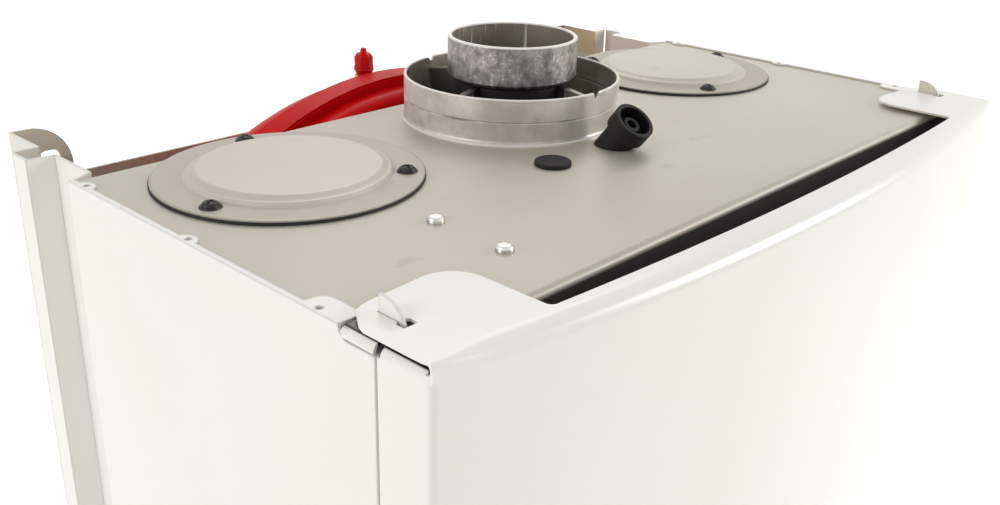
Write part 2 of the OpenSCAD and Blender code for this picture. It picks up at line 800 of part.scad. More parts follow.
// Red dust cap of the charging valve, ribbed, with a flared foot and a small peak
module vessel_cap() {
  color("red") translate([vessel_x, valve_y, cap_low]) difference() {
    union() {
      rotate_extrude() polygon([[0, 0], [4, 0], [5.3, 2.3], [5.1, 3.2], [4.4, 9.6], [3.8, 10.8], [0, 11.2]]);
      translate([0, 0, 11]) cylinder(r1 = 1.9, r2 = 1.4, h = 2.6);
      for (a = [0:36:324]) rotate([0, 0, a]) translate([4.5, 0, 3.4]) cylinder(r = 0.4, h = 6);
    }
    translate([0, 0, -1]) cylinder(r = 3 + slip, h = 9.6);
  }
}

// Flexible pipe from the foot of the vessel to the return group
module vessel_pipe() {
  run_z = chamber_low - 50;
  foot = vessel_z - vessel_r;
  color("goldenrod") difference() {
    union() {
      pipe([[port_x, ring_y, foot], [port_x, ring_y, run_z], [port_x, -tail_y, run_z],
        [plate_x, -tail_y, run_z], [plate_x, -tail_y, port_top]], 5, 14);
      translate([port_x, ring_y, foot - 10]) cylinder(r = 8, h = 22, $fn = 6);
      translate([plate_x, -tail_y, port_top]) cylinder(r = 9, h = 10, $fn = 6);
    }
    vessel_round();
  }
}

// Collecting hood with the flat duct that leads to the fan inlet
module fume_hood() {
  y = [box_front + 4, box_back + 4];
  duct_y = fan_back;
  w = box_w / 2 - 3;
  color("silver") difference() {
    union() {
      translate([0, y[1], 0]) rotate([90, 0, 0]) linear_extrude(y[1] - y[0])
        polygon([[-w, fins_top], [w, fins_top], [w, fins_top + 3], [w - 25, hood_top],
          [-w + 62, hood_top], [-w, fins_top + 3]]);
      span([fan.x - 34, fan.x + 34], [duct_y, y[1]], [hood_top - 1, fan.z + 35]);
    }
    translate([0, y[1] - sheet, 0]) rotate([90, 0, 0]) linear_extrude(y[1] - y[0] - 2 * sheet)
      polygon([[-w + 1, fins_top - 1], [w - 1, fins_top - 1], [w - 1, fins_top + 3],
        [w - 26, hood_top - sheet], [-w + 63, hood_top - sheet], [-w + 1, fins_top + 3]]);
    span([fan.x - 33, fan.x + 33], [duct_y + sheet, y[1] - sheet], [hood_top - 5, fan.z + 34]);
    translate([fan.x, duct_y + 3, fan.z]) rotate([90, 0, 0]) cylinder(d = inlet_d, h = 6);
  }
}

// Spiral radius of the fan housing, measured from the outlet side
function scroll_at(a, inset) = scroll_r0 + (scroll_r1 - scroll_r0) * a / 360 - inset;
function scroll_points(inset) =
  [for (a = [0:15:360]) scroll_at(a, inset) * [cos(180 - a), sin(180 - a)]];

// Side view of the fan housing: spiral round the wheel and the duct to the outlet
module scroll_plan(inset) {
  duct_w = 2 * (scroll_r1 + flue_x - fan.x);
  polygon(scroll_points(inset));
  translate([inset - scroll_r1, 0]) square([duct_w - 2 * inset, duct_top - fan.z - inset]);
}

module fan_housing() {
  t = 1.5;
  neck = neck_r + slip;
  color("silver") difference() {
    union() {
      translate([fan.x, fan_back, fan.z]) rotate([90, 0, 0]) linear_extrude(fan_t) scroll_plan(0);
      translate([flue.x, flue.y, duct_top - t]) cylinder(r = neck + t, h = 16);
      rod([fan.x + 46, flue.y, fan.z], [nipple_x, flue.y, fan.z], 3);
      translate([fan.x, fan.y, fan.z]) rotate([90, 0, 0]) cylinder(r = wheel_d / 2 + 1, h = t);
    }
    translate([fan.x, fan_back - t, fan.z]) rotate([90, 0, 0])
      linear_extrude(fan_t - 2 * t) scroll_plan(t);
    translate([flue.x, flue.y, duct_top - 2 * t]) cylinder(r = neck, h = 30);
    translate([fan.x, fan_back + 1, fan.z]) rotate([90, 0, 0]) cylinder(d = inlet_d, h = 4);
    translate([fan.x, fan.y + 3, fan.z]) rotate([90, 0, 0]) cylinder(r = 6, h = 8);
  }
}

// Fan wheel: backplate, hub, shaft, rim ring and forward-curved blades
module fan_impeller() {
  r = wheel_d / 2;
  y0 = fan.y + 4;
  color("silver") translate([fan.x, y0 + wheel_w, fan.z]) rotate([90, 0, 0]) {
    difference() {
      cylinder(r = r, h = 1.5);
      translate([0, 0, -1]) cylinder(r = r - 10.5, h = 4);
    }
    translate([0, 0, wheel_w - 1.5]) cylinder(r = r, h = 1.5);
    translate([0, 0, wheel_w - 13]) cylinder(r1 = 7, r2 = 16, h = 12);
    translate([0, 0, wheel_w - 14]) cylinder(r = 3, h = 44);
    linear_extrude(wheel_w - 0.5)
      for (i = [0:blade_n - 1]) rotate(i * 360 / blade_n) wheel_blade(r);
  }
}

module wheel_blade(r) {
  p = arc([r - 6.5, 8.2], 8.6, -118, -62, 5);
  polygon(concat(p, [for (i = [5:-1:0]) p[i] + 0.8 * unit([r - 6.5, 8.2] - p[i])]));
}

// Fan motor: stacked plates on a round body with a bearing bore
module fan_motor() {
  y0 = fan.y - 1.5;
  color("dimgray") difference() {
    translate([fan.x, y0, fan.z]) rotate([90, 0, 0]) {
      cylinder(r = 11, h = 12);
      translate([0, 0, 8]) cylinder(d = motor_d, h = 8);
      translate([0, 0, 16]) cylinder(d = motor_d - 14, h = 26);
      for (i = [0:3]) translate([-motor_d / 2, -motor_d / 2 + 4, 19 + 5 * i])
        cube([motor_d, motor_d - 8, 3]);
      translate([0, 0, 42]) cylinder(d1 = motor_d - 14, d2 = motor_d - 30, h = 6);
      for (a = [45:90:315]) rotate([0, 0, a]) translate([motor_d / 2 - 5, 0, 0])
        cylinder(r = 3, h = 10);
    }
    translate([fan.x, fan.y + 2, fan.z]) rotate([90, 0, 0]) cylinder(r = 3 + shaft_gap, h = 34);
  }
}

// Heat exchanger: fin stack, water tubes in a row and their return bends
module heat_exchanger() {
  w = box_w / 2 - 9;
  fin_t = 0.7;
  y = [box_front + 3, box_back - 3];
  color("peru") {
    for (i = [0:fin_n - 1]) {
      x = -w + 2 * w * i / (fin_n - 1);
      span([x - fin_t / 2, x + fin_t / 2], [y[0] + 3, y[1] - 3], [box_top + 3, fins_top - 3]);
    }
    both() span([-w - 2, -w], y, [box_top, fins_top]);
    for (p = [y[0], y[1] - sheet]) span([-w - 1, w + 1], [p, p + sheet], [box_top, fins_top]);
    for (k = [0:tube_n - 1]) {
      ty = hx_first_y - k * tube_pitch;
      rod([-w - 6, ty, hx_z], [w + 6, ty, hx_z], tube_d / 2);
    }
    for (k = [0:tube_n - 2]) {
      side = k % 2 == 0 ? -1 : 1;
      translate([side * (w + 6), hx_first_y - (k + 0.5) * tube_pitch, hx_z])
        rotate([0, 0, side > 0 ? -90 : 90])
          rotate_extrude(angle = 180) translate([tube_pitch / 2, 0]) circle(tube_d / 2);
    }
    rod([w, hx_first_y, hx_z], [hx_end, hx_first_y, hx_z], tube_d / 2 + 1.5);
    rod([-hx_end, hx_last_y, hx_z], [-w, hx_last_y, hx_z], tube_d / 2 + 1.5);
  }
}

module combustion_box() {
  w = box_w / 2;
  foot = 12;
  color("silver") difference() {
    union() {
      span([-w, w], [box_front, box_back], [box_low, box_top]);
      both() for (z = [box_low + 20, box_top - 32])
        span([-w + 10, -w + 10 + foot], [box_back, -chamber_y - sheet], [z, z + foot]);
    }
    span([-w + sheet, w - sheet], [box_front + sheet, box_back - sheet], [box_low - 1, box_top + 1]);
    for (x = electrode_x) translate([x, box_front + 3, electrode_z]) rotate([90, 0, 0])
      cylinder(r = 3.5, h = 6);
    translate([sight.x, box_front + 3, sight.z]) rotate([90, 0, 0]) cylinder(r = 8, h = 6);
  }
}

module fibre_lining() {
  w = box_w / 2 - sheet;
  color("ivory") difference() {
    span([-w, w], [box_front + sheet, box_back - sheet], [box_low + 2, box_top]);
    span([-w + fibre_t, w - fibre_t], [box_front + sheet + fibre_t, box_back - sheet - fibre_t],
      [box_low - 1, box_top + 1]);
    for (x = electrode_x) translate([x, box_front + 30, electrode_z]) rotate([90, 0, 0])
      cylinder(r = 3.5, h = 40);
    translate([sight.x, box_front + 30, sight.z]) rotate([90, 0, 0]) cylinder(r = 8, h = 40);
  }
}

function burner_x(i) = (i - (burner_n - 1) / 2) * burner_pitch;

// Burner: a row of round-topped blades between two rails
module burner_rack() {
  w = 4.6;
  y = [box_front + 16, box_back - 16];
  z = box_low - 6;
  rail_w = burner_n * burner_pitch / 2 + 6;
  color("lightslategray") difference() {
    union() {
      for (i = [0:burner_n - 1]) translate([burner_x(i), 0, 0]) {
        span([-w, w], y, [burner_low, z]);
        translate([0, y[1], z]) rotate([90, 0, 0]) cylinder(r = w, h = y[1] - y[0], $fn = 32);
      }
      for (s = [y[0] - 2, y[1]]) span([-rail_w, rail_w], [s, s + 2], [burner_low - 2, box_low]);
      both() span([-rail_w, 2 - rail_w], [box_front, box_back], [box_low - 8, box_low]);
    }
    for (i = [0:burner_n - 1]) translate([burner_x(i), y[0] + 40, manifold_z]) rotate([90, 0, 0])
      cylinder(r = 3.8, h = 60, $fn = 24);
    for (k = [0:9]) translate([0, y[0] + 8 + k * 9, 0])
      span([2.5 - rail_w, rail_w - 2.5], [0, 2], [z + w - 2, z + w + 1]);
  }
}

// Gas manifold: a bar with one nozzle for each burner blade
module gas_manifold() {
  w = burner_n * burner_pitch / 2;
  r = 8;
  color("goldenrod") {
    rod([-w, manifold_y, manifold_z], [w, manifold_y, manifold_z], r);
    for (i = [0:burner_n - 1]) translate([burner_x(i), manifold_y, manifold_z]) rotate([-90, 0, 0]) {
      cylinder(r = 4.6, h = 14, $fn = 6);
      cylinder(r = 2.2, h = 29, $fn = 20);
    }
    both() span([-w - 6, -w - 4], [manifold_y - r, box_front + 14], [manifold_z - 10, box_low - 8]);
    both() span([-w - 5, -w + 1], [manifold_y - 5, manifold_y + 5], [manifold_z - 5, manifold_z + 5]);
    translate([0, manifold_y, manifold_z - r - 3]) cylinder(r = 12, h = 6, $fn = 6);
  }
}

// Two spark rods and a flame rod in ceramic sleeves
module electrodes() {
  color("whitesmoke") for (x = electrode_x) {
    rod([x, box_front - 22, electrode_z], [x, box_front + 16, electrode_z], 3.2);
    rod([x, box_front + 16, electrode_z], [x, box_front + 60, electrode_z], 1.2);
    span([x - 6, x + 6], [box_front - 1.2, box_front], [electrode_z - 7, electrode_z + 7]);
  }
}

// Air pressure switch: a round capsule with two hose ports
module pressure_switch() {
  r = 33;
  color("white") translate(switch_at) rotate([0, -90, 0]) {
    cylinder(r = 12, h = 8);
    translate([0, 0, 6]) cylinder(r = r - 3, h = 10);
    translate([0, 0, 12]) cylinder(r = r, h = 5);
    translate([0, 0, 17]) cylinder(r = r - 5, h = 8);
    for (s = [-1, 1]) translate([0, 12 * s, 24]) cylinder(r = 3, h = 12);
  }
}

// Hoses from the two ports of the pressure switch to the test point and the fan
module sensing_tubes() {
  x = switch_at.x - 30;
  z = switch_at.z;
  port = 12;
  color("tomato") difference() {
    union() {
      pipe([[x, switch_at.y - port, z], [x - 30, switch_at.y - port, z],
        [x - 30, switch_at.y - port, top_z - 35], [nozzle_at.x, switch_at.y - port, top_z - 35],
        [nozzle_at.x, nozzle_at.y, top_z - 35], [nozzle_at.x, nozzle_at.y, hose_top]], 4, 8);
      pipe([[x, switch_at.y + port, z], [x - 50, switch_at.y + port, z],
        [x - 50, flue.y, z], [nipple_x - 6, flue.y, z]], 4, 10);
    }
    for (s = [-1, 1])
      rod([x - 10, switch_at.y + port * s, z], [x + 4, switch_at.y + port * s, z], 3);
    rod([nipple_x - 7, flue.y, z], [nipple_x, flue.y, z], 3);
  }
}

// Gas valve: cast block, two solenoids on top of its front and a regulator cap
module gas_valve() {
  c = [0, gas_y, gas_valve_low];
  color("silver") translate(c) {
    span([-24, 24], [-30, 22], [6, gas_valve_h - 6]);
    cylinder(r = 16, h = gas_valve_h, $fn = 48);
    for (z = [24, 56]) translate([0, -30, z]) rotate([90, 0, 0]) {
      cylinder(r = 13, h = 26);
      translate([0, 0, 26]) cylinder(r = 10, h = 4);
    }
    translate([24, -4, 40]) rotate([0, 90, 0]) cylinder(r = 16, h = 12);
    translate([-24, -4, 40]) rotate([0, -90, 0]) cylinder(r = 8, h = 9, $fn = 6);
  }
}

module gas_pipe() {
  r = pipe_d / 2;
  turn = chamber_low - 34;
  color("goldenrod") {
    rod([0, gas_y, shelf_z + 2], [0, gas_y, gas_valve_low], r);
    translate([0, gas_y, gas_valve_low - 14]) cylinder(r = 15, h = 14, $fn = 6);
    translate([0, gas_y, shelf_z]) cylinder(r = 15.5, h = 14, $fn = 6);
    pipe([[0, gas_y, gas_valve_low + gas_valve_h], [0, gas_y, turn], [0, manifold_y, turn],
      [0, manifold_y, manifold_z - 11]], r, pipe_bend);
    translate([0, gas_y, gas_valve_low + gas_valve_h]) cylinder(r = 15, h = 12, $fn = 6);
  }
}

// Pump: cast volute with its outlet riser, air vent and foot
module pump_body() {
  c = [return_x, pump_y, pump_z];
  color("dimgray") translate(c) {
    rotate([90, 0, 0]) cylinder(r = pump_r + 3, h = 34, center = true);
    rotate([90, 0, 0]) translate([0, 0, 17]) cylinder(r = pump_r, h = 6);
    translate([0, 0, -pump_r - 8]) cylinder(r = 17, h = 30);
    translate([riser_x - return_x, 0, 0]) cylinder(r = 14, h = pump_r + 12);
    translate([-30, 0, 0]) cylinder(r = 9, h = pump_r + 8);
    translate([-30, 0, pump_r + 8]) cylinder(r = 14, h = 24);
    translate([-30, 0, pump_r + 32]) cylinder(r1 = 14, r2 = 9, h = 4);
    translate([-30, 0, pump_r + 36]) cylinder(r = 4, h = 5);
  }
}

module pump_motor() {
  y = pump_y - 23;
  color("darkslategray") translate([return_x, y, pump_z]) rotate([90, 0, 0]) {
    cylinder(r = pump_r - 4, h = 46);
    for (a = [0:30:330]) rotate([0, 0, a]) translate([pump_r - 6, -1.5, 6]) cube([5, 3, 34]);
    translate([0, 0, 46]) cylinder(r1 = pump_r - 4, r2 = pump_r - 10, h = 4);
    translate([0, 0, 50]) cylinder(r = 9, h = 3);
  }
}

module tee_column(x, r, top) {
  translate([x, -tail_y, block_low]) {
    cylinder(r = r, h = top - block_low);
    cylinder(r = r + 5, h = 8, $fn = 6);
    translate([0, 0, top - block_low - 8]) cylinder(r = r + 2, h = 8);
  }
}

// Return group: filter column, cold inlet column, cross body and exchanger ports
module return_block() {
  top = pump_z - pump_r - 8;
  color("darkkhaki") difference() {
    union() {
      tee_column(return_x, 19, top);
      tee_column(tail_pitch, 14, block_z + 26);
      rod([tail_pitch, -tail_y, block_z], [return_x + 24, -tail_y, block_z], 15);
      exchanger_ports(1);
      rod([return_x, -tail_y - 14, block_z + 30], [return_x, -tail_y - 30, block_z + 30], 12);
    }
    translate([return_x, 0, 0]) relief_seat();
  }
}

module relief_seat() {
  translate([0, -tail_y - 30 + 6, block_z + 30]) rotate([90, 0, 0]) cylinder(r = 8, h = 10);
}

module exchanger_ports(side) {
  for (z = [block_z, block_z + 54])
    rod([side * plate_x, -tail_y, z], [side * plate_x, plate_front, z], 10);
  rod([side * plate_x, -tail_y, block_z - 10], [side * plate_x, -tail_y, port_top], 13);
}

// Flow group: diverter column, hot water column and exchanger ports
module flow_block() {
  color("darkkhaki") union() {
    tee_column(flow_x, 19, flow_top);
    tee_column(-tail_pitch, 14, block_z + 26);
    rod([-tail_pitch, -tail_y, block_z], [flow_x - 24, -tail_y, block_z], 15);
    exchanger_ports(-1);
    rod([flow_x, -tail_y - 12, block_z + 40], [flow_x, -tail_y - 30, block_z + 40], 14);
    rod([flow_x, -tail_y, flow_top - 14], [-riser_x, -tail_y, flow_top - 14], 12);
    translate([-riser_x, -tail_y, flow_top - 26]) cylinder(r = 13, h = 32);
  }
}

module diverter_motor() {
  y = -tail_y - 30;
  z = block_z + 40;
  color("black") {
    rod([flow_x, y, z], [flow_x, y - 8, z], 17);
    span([flow_x - 20, flow_x + 20], [y - 52, y - 8], [z - 18, z + 18]);
    rod([flow_x + 20, y - 34, z - 6], [flow_x + 28, y - 34, z - 6], 7);
  }
}

// Plate exchanger: a stack of pressed plates between two end plates
module plate_exchanger() {
  w = 96;
  n = 12;
  step = (plate_back - plate_front - 4) / n;
  color("gainsboro") {
    for (y = [plate_front, plate_back - 2])
      span([-w, w], [y, y + 2], [plate_low, plate_low + plate_h]);
    for (i = [0:n - 1]) {
      inset = i % 2 == 0 ? 3 : 1.2;
      span([-w + inset, w - inset], [plate_front + 2 + i * step, plate_front + 2 + (i + 1) * step],
        [plate_low + inset, plate_low + plate_h - inset]);
    }
  }
}

module relief_valve() {
  color("goldenrod") {
    translate([return_x, relief_y + 5.8, block_z + 30]) rotate([90, 0, 0]) {
      cylinder(r = 7.8, h = 12);
      translate([0, 0, 5.8]) cylinder(r = 15, h = 10, $fn = 6);
      translate([0, 0, 15.8]) cylinder(r = 11, h = 8);
      translate([0, 0, 23.8]) cylinder(r = 3.5, h = 20);
    }
    translate([return_x, relief_y - 9, block_z + 30]) rotate([0, 90, 0]) cylinder(r = 7, h = 26);
  }
}

module relief_knob() {
  y = relief_y - 18.6;
  color("red") difference() {
    union() {
      rod([return_x, y, block_z + 30], [return_x, y - 22, block_z + 30], 15);
      for (a = [0:45:315]) translate([return_x, y, block_z + 30]) rotate([90, 0, 0])
        rotate([0, 0, a]) translate([15, 0, 3]) cylinder(r = 2, h = 19);
    }
    rod([return_x, y + 1, block_z + 30], [return_x, y - 20, block_z + 30], 3.5 + shaft_gap);
  }
}

module filling_tap() {
  color("goldenrod") difference() {
    translate([fill_x, -tail_y, 0]) {
      translate([0, 0, fill_low]) cylinder(r = fill_r, h = block_z - fill_low);
      translate([0, 0, fill_low - 14]) cylinder(r = 3, h = 16);
    }
    rod([tail_pitch, -tail_y, block_z], [return_x + 24, -tail_y, block_z], 15);
  }
}

module filling_knob() {
  color("royalblue") difference() {
    translate([fill_x, -tail_y, fill_low - 18]) {
      cylinder(r = 10, h = 17.5);
      for (a = [0:60:300]) rotate([0, 0, a]) translate([10, 0, 0]) cylinder(r = 2.5, h = 14);
    }
    translate([fill_x, -tail_y, fill_low - 15]) cylinder(r = 3 + shaft_gap, h = 20);
  }
}

// Pipe from the end of the last exchanger tube down to the flow group
module flow_pipe() {
  low = flow_top + 6;
  color("goldenrod") {
    pipe([[-hx_end, hx_last_y, hx_z], [-riser_x, hx_last_y, hx_z], [-riser_x, hx_last_y, hx_z - 70],
      [-riser_x, -tail_y, hx_z - 70], [-riser_x, -tail_y, low]], pipe_d / 2, pipe_bend);
    translate([-riser_x, -tail_y, low]) cylinder(r = 15, h = 14, $fn = 6);
  }
}

// Pipe from the pump up to the first exchanger tube
module return_pipe() {
  low = pump_z + pump_r + 12;
  color("goldenrod") {
    pipe([[hx_end, hx_first_y, hx_z], [riser_x, hx_first_y, hx_z], [riser_x, hx_first_y, low]],
      pipe_d / 2, pipe_bend);
    translate([riser_x, hx_first_y, low]) cylinder(r = 15, h = 14, $fn = 6);
  }
}

// The five pipe ends under the shelf, each with its nut
module connection_tails() {
  low = bottom_z - tail_drop;
  color("goldenrod") difference() {
    for (i = [-2:2]) {
      r = i == -1 || i == 1 ? tail_small_r : tail_big_r;
      translate([i * tail_pitch, -tail_y, low]) {
        cylinder(r = r, h = shelf_z - low);
        translate([0, 0, shelf_z - shelf_t - low - 9]) cylinder(r = tail_big_r + 5, h = 9, $fn = 6);
      }
    }
    for (i = [-2:2]) {
      r = i == -1 || i == 1 ? tail_small_r : tail_big_r;
      translate([i * tail_pitch, -tail_y, low - 1]) cylinder(r = r - 2.5, h = shelf_z - low - 3);
    }
  }
}

// Tilting control box: a tray with pivot ears and a flange that carries the panel
module control_box() {
  t = 2;
  w = half - 14;
  y = [fascia_back - 2, pivot.y + 11];
  color("dimgray") difference() {
    union() {
      span([-w, w], y, [box_z[0], box_z[1] - 4]);
      span([-inner_half + shell_t, inner_half - shell_t], [y[0], y[0] + t], box_z);
      both() rod([-w, pivot.y, pivot.z], [t - w, pivot.y, pivot.z], 6.5);
    }
    span([-w + t, w - t], [y[0] - 1, y[1] - t], [box_z[0] + t, box_z[1] - 4 - t]);
    both() rod([-w - 1, pivot.y, pivot.z], [-w + 3 * t, pivot.y, pivot.z], 4 + shaft_gap);
    for (i = [0:8]) translate([14 * i - 60, 0, 0])
      span([0, 6], [y[1] - t - 1, y[1] + 1], [panel_mid, panel_mid + 24]);
  }
}

module dial_places() {
  both() translate([knob_x, 0, panel_mid]) children();
}

module boss(r, y0, y1) {
  translate([0, y1, 0]) rotate([90, 0, 0]) cylinder(r = r, h = y1 - y0);
}

// Control panel: bowed plastic shell with round pockets for the knobs and gauge
module control_fascia() {
  h = fascia_top - fascia_low;
  color("whitesmoke") difference() {
    union() {
      translate([0, 0, fascia_low]) linear_extrude(h) difference() {
        front_plan();
        front_plan(shell_t);
        back_of(fascia_back);
      }
      for (z = [fascia_low, fascia_top - shell_t]) translate([0, 0, z]) linear_extrude(shell_t)
        difference() {
          front_plan();
          back_of(fascia_back);
        }
      intersection() {
        translate([0, 0, fascia_low]) linear_extrude(h) front_plan();
        union() {
          dial_places() boss(knob_pocket_r + 2, wall_y - 1, dial_floor + shell_t);
          translate([gauge_x, 0, panel_mid]) boss(gauge_pocket_r + 2, wall_y - 1, dial_floor + shell_t);
          for (x = [-96, 96], z = [panel_mid - 40, panel_mid + 40])
            translate([x, 0, z]) boss(4, wall_y + 1, board_y);
        }
      }
    }
    dial_places() {
      boss(knob_pocket_r, wall_y - 9, dial_floor);
      boss(4, dial_floor - 1, dial_floor + shell_t + 1);
    }
    translate([gauge_x, 0, panel_mid]) {
      boss(gauge_pocket_r, wall_y - 9, dial_floor);
      boss(gauge_d / 2 - 2, dial_floor - 1, dial_floor + shell_t + 1);
    }
    for (s = [-1, 1]) translate([s * button_x, 0, button_z])
      boss(button_d / 2 + slip, wall_y - 1, wall_y + shell_t + 1);
    span([-window_w, window_w], [wall_y - 1, wall_y + 1.6], window_z);
    span([2 - window_w, window_w - 2], [wall_y - 1, wall_y + shell_t + 1],
      [window_z[0] + 2, window_z[1] - 2]);
  }
}

module display_window() {
  g = 0.2;
  color("darkslategray")
    span([g - window_w, window_w - g], [wall_y + 0.4, wall_y + 1.6], [window_z[0] + g, window_z[1] - g]);
}

// Circuit board with the two dial controls, switches, relays and connectors
module circuit_board() {
  t = 1.6;
  color("seagreen") difference() {
    union() {
      span([-104, 104], [board_y, board_y + t], [panel_mid - 46, panel_mid + 44]);
      dial_places() span([-8, 8], [board_y - 4.8, board_y], [-8, 8]);
      for (s = [-1, 1]) span([s * button_x - 4, s * button_x + 4], [board_y - 1.2, board_y],
        [button_z - 4, button_z + 4]);
      span([-24, 24], [board_y - 10, board_y], [window_z[0] + 1, window_z[1] - 1]);
      for (x = [-88:22:0])
        span([x, x + 15], [board_y + t, board_y + 18], [panel_mid + 14, panel_mid + 34]);
      for (x = [-90:30:60])
        span([x, x + 22], [board_y + t, board_y + 12], [panel_mid - 44, panel_mid - 36]);
      span([20, 52], [board_y + t, board_y + 30], [panel_mid - 4, panel_mid + 32]);
      for (x = [76, 90]) translate([x, board_y + t, panel_mid]) rotate([-90, 0, 0]) cylinder(r = 5, h = 20);
    }
    dial_places() boss(3 + shaft_gap, board_y - 6, board_y + t + 1);
  }
}

// Control knob with a finger ridge and its shaft
module control_knob(x) {
  r = knob_d / 2;
  rear = dial_floor - 0.5;
  front = wall_y - 6;
  color("lightgray") translate([x, 0, panel_mid]) {
    difference() {
      union() {
        boss(r, front + 2, rear);
        translate([0, front + 2, 0]) rotate([90, 0, 0]) cylinder(r1 = r, r2 = r - 2, h = 2);
      }
      both() span([4, r + 1], [front - 1, front + 9], [-r, r]);
      span([-0.8, 0.8], [front - 1, front + 0.6], [r - 9, r + 1]);
    }
    boss(3, rear - 1, board_y + 3);
  }
}

module push_button(x) {
  r = button_d / 2;
  inner = wall_y + shell_t + slip + 0.3;
  color("lightgray") translate([x, 0, button_z]) {
    boss(r, wall_y - 1.6, inner + 1);
    boss(r + 1.4, inner, inner + 1.4);
    boss(2, inner, board_y - 3.2);
  }
}

// Pressure gauge: bezel, dial cup and the body behind the panel
module gauge_body() {
  r = gauge_d / 2;
  color("silver") translate([gauge_x, 0, panel_mid]) difference() {
    union() {
      boss(r + 2, dial_floor - 7, dial_floor);
      boss(r - 2.3, dial_floor, dial_floor + 20);
      boss(5, dial_floor + 20, dial_floor + 28);
    }
    boss(r - 0.5, dial_floor - 8, dial_floor - 1.5);
    boss(1 + shaft_gap, dial_floor - 2, dial_floor + 6);
  }
}

module gauge_pointer() {
  r = gauge_d / 2 - 4;
  y = dial_floor - 3;
  color("black") translate([gauge_x, 0, panel_mid]) {
    boss(1, y, dial_floor + 5);
    boss(2.6, y - 1, y + 0.8);
    rotate([0, -135, 0]) translate([0, y, 0]) rotate([90, 0, 0]) linear_extrude(0.8)
      polygon([[-1.1, -5], [1.1, -5], [0.4, r], [-0.4, r]]);
  }
}

module side_panel_left() {
  color("white") side_panel();
}

module side_panel_right() {
  color("white") mirror([1, 0, 0]) side_panel();
}

rear_frame();
side_panel_left();
side_panel_right();
front_cover();
chamber_top();
chamber_shell();
chamber_front();
chamber_seal();
sight_glass();
flue_collar();
flue_spigot();
air_cover(-1);  // air_cover_left
air_cover(1);  // air_cover_right
cover_gaskets();
air_cover_screws();
test_plug();
test_nozzle();
top_screws();
expansion_vessel();
vessel_valve();
vessel_cap();
vessel_pipe();
fume_hood();
fan_housing();
fan_impeller();
fan_motor();
heat_exchanger();
combustion_box();
fibre_lining();
burner_rack();
gas_manifold();
electrodes();
pressure_switch();
sensing_tubes();
gas_valve();
gas_pipe();
pump_body();
pump_motor();
return_block();
flow_block();
diverter_motor();
plate_exchanger();
relief_valve();
relief_knob();
filling_tap();
filling_knob();
flow_pipe();
return_pipe();
connection_tails();
control_box();
control_fascia();
circuit_board();
display_window();
control_knob(-knob_x);  // knob_heating
control_knob(knob_x);  // knob_water
push_button(-button_x);  // reset_button
push_button(button_x);  // mode_button
gauge_body();
gauge_pointer();
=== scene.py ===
# %% [markdown]
# # Wall-hung gas boiler: looks
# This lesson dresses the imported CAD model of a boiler. The frame gives the exact metal and
# plastic parts. Each step says what a piece or finish is on the real thing, how it could be
# made and why this way was chosen, then builds it and prints what it made.
# All lengths are in the frame's own axes: X right, the front faces -Y, Z up. Shapes are
# worked out in millimetres and become metres when they are put into a mesh.

# %% Load the frame
import json
import math

import bmesh
import bpy
import numpy as np
from mathutils import Matrix, Vector, geometry

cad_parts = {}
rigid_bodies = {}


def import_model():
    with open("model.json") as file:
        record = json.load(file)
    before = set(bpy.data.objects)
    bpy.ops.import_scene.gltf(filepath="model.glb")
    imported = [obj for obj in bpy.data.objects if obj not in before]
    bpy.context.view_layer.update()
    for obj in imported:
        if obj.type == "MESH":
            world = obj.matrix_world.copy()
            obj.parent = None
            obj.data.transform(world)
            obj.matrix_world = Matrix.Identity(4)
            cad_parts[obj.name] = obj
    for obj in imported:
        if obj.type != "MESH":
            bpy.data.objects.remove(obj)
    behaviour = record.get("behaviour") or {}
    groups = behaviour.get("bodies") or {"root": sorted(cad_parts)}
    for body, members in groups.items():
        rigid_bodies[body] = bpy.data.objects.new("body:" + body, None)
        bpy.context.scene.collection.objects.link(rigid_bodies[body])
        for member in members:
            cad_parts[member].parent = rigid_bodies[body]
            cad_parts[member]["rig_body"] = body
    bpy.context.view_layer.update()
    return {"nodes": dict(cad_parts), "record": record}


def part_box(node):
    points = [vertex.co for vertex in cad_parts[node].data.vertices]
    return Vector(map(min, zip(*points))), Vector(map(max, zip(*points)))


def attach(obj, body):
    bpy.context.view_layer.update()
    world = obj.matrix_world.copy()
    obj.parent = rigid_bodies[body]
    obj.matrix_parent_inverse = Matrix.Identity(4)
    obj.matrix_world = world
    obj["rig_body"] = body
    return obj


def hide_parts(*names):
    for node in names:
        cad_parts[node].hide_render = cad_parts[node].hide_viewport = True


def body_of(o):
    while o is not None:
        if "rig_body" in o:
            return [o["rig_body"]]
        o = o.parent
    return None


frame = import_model()

# %% [markdown]
# ## Places from the frame
# Finishes and new pieces have to sit where the solids are. The places that several steps share
# could be typed again, but then they could drift apart from the solids, so they are read from
# the boxes of the frame's nodes and rounded to a tenth of a millimetre.

# %% Places from the frame
MM = 0.001


def box_mm(node):
    """The low and the high corner of a node's box, in mm."""
    return np.round(np.array(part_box(node)) / MM, 1).tolist()


def middle(node):
    """The middle of a node's box, in mm."""
    return [(low + high) / 2 for low, high in zip(*box_mm(node))]


TOP = box_mm("chamber_top")[1][2]
FLUE = middle("flue_collar")[:2]
AIR_COVERS = {node: middle(node)[:2] for node in ("air_cover_left", "air_cover_right")}
print("steel top at", TOP, "flue axis at", FLUE, "air covers at", list(AIR_COVERS.values()))

# %% [markdown]
# ## Shader arithmetic
# A finish is a small formula. It could be wired by hand in the node editor, but a formula in
# Python is easier to read and to change. This class wraps one node socket, so that ordinary
# operators build the tree: numbers use Math nodes, vectors use Vector Math nodes and colours
# use Mix nodes. Any other node comes from the one method `node`.


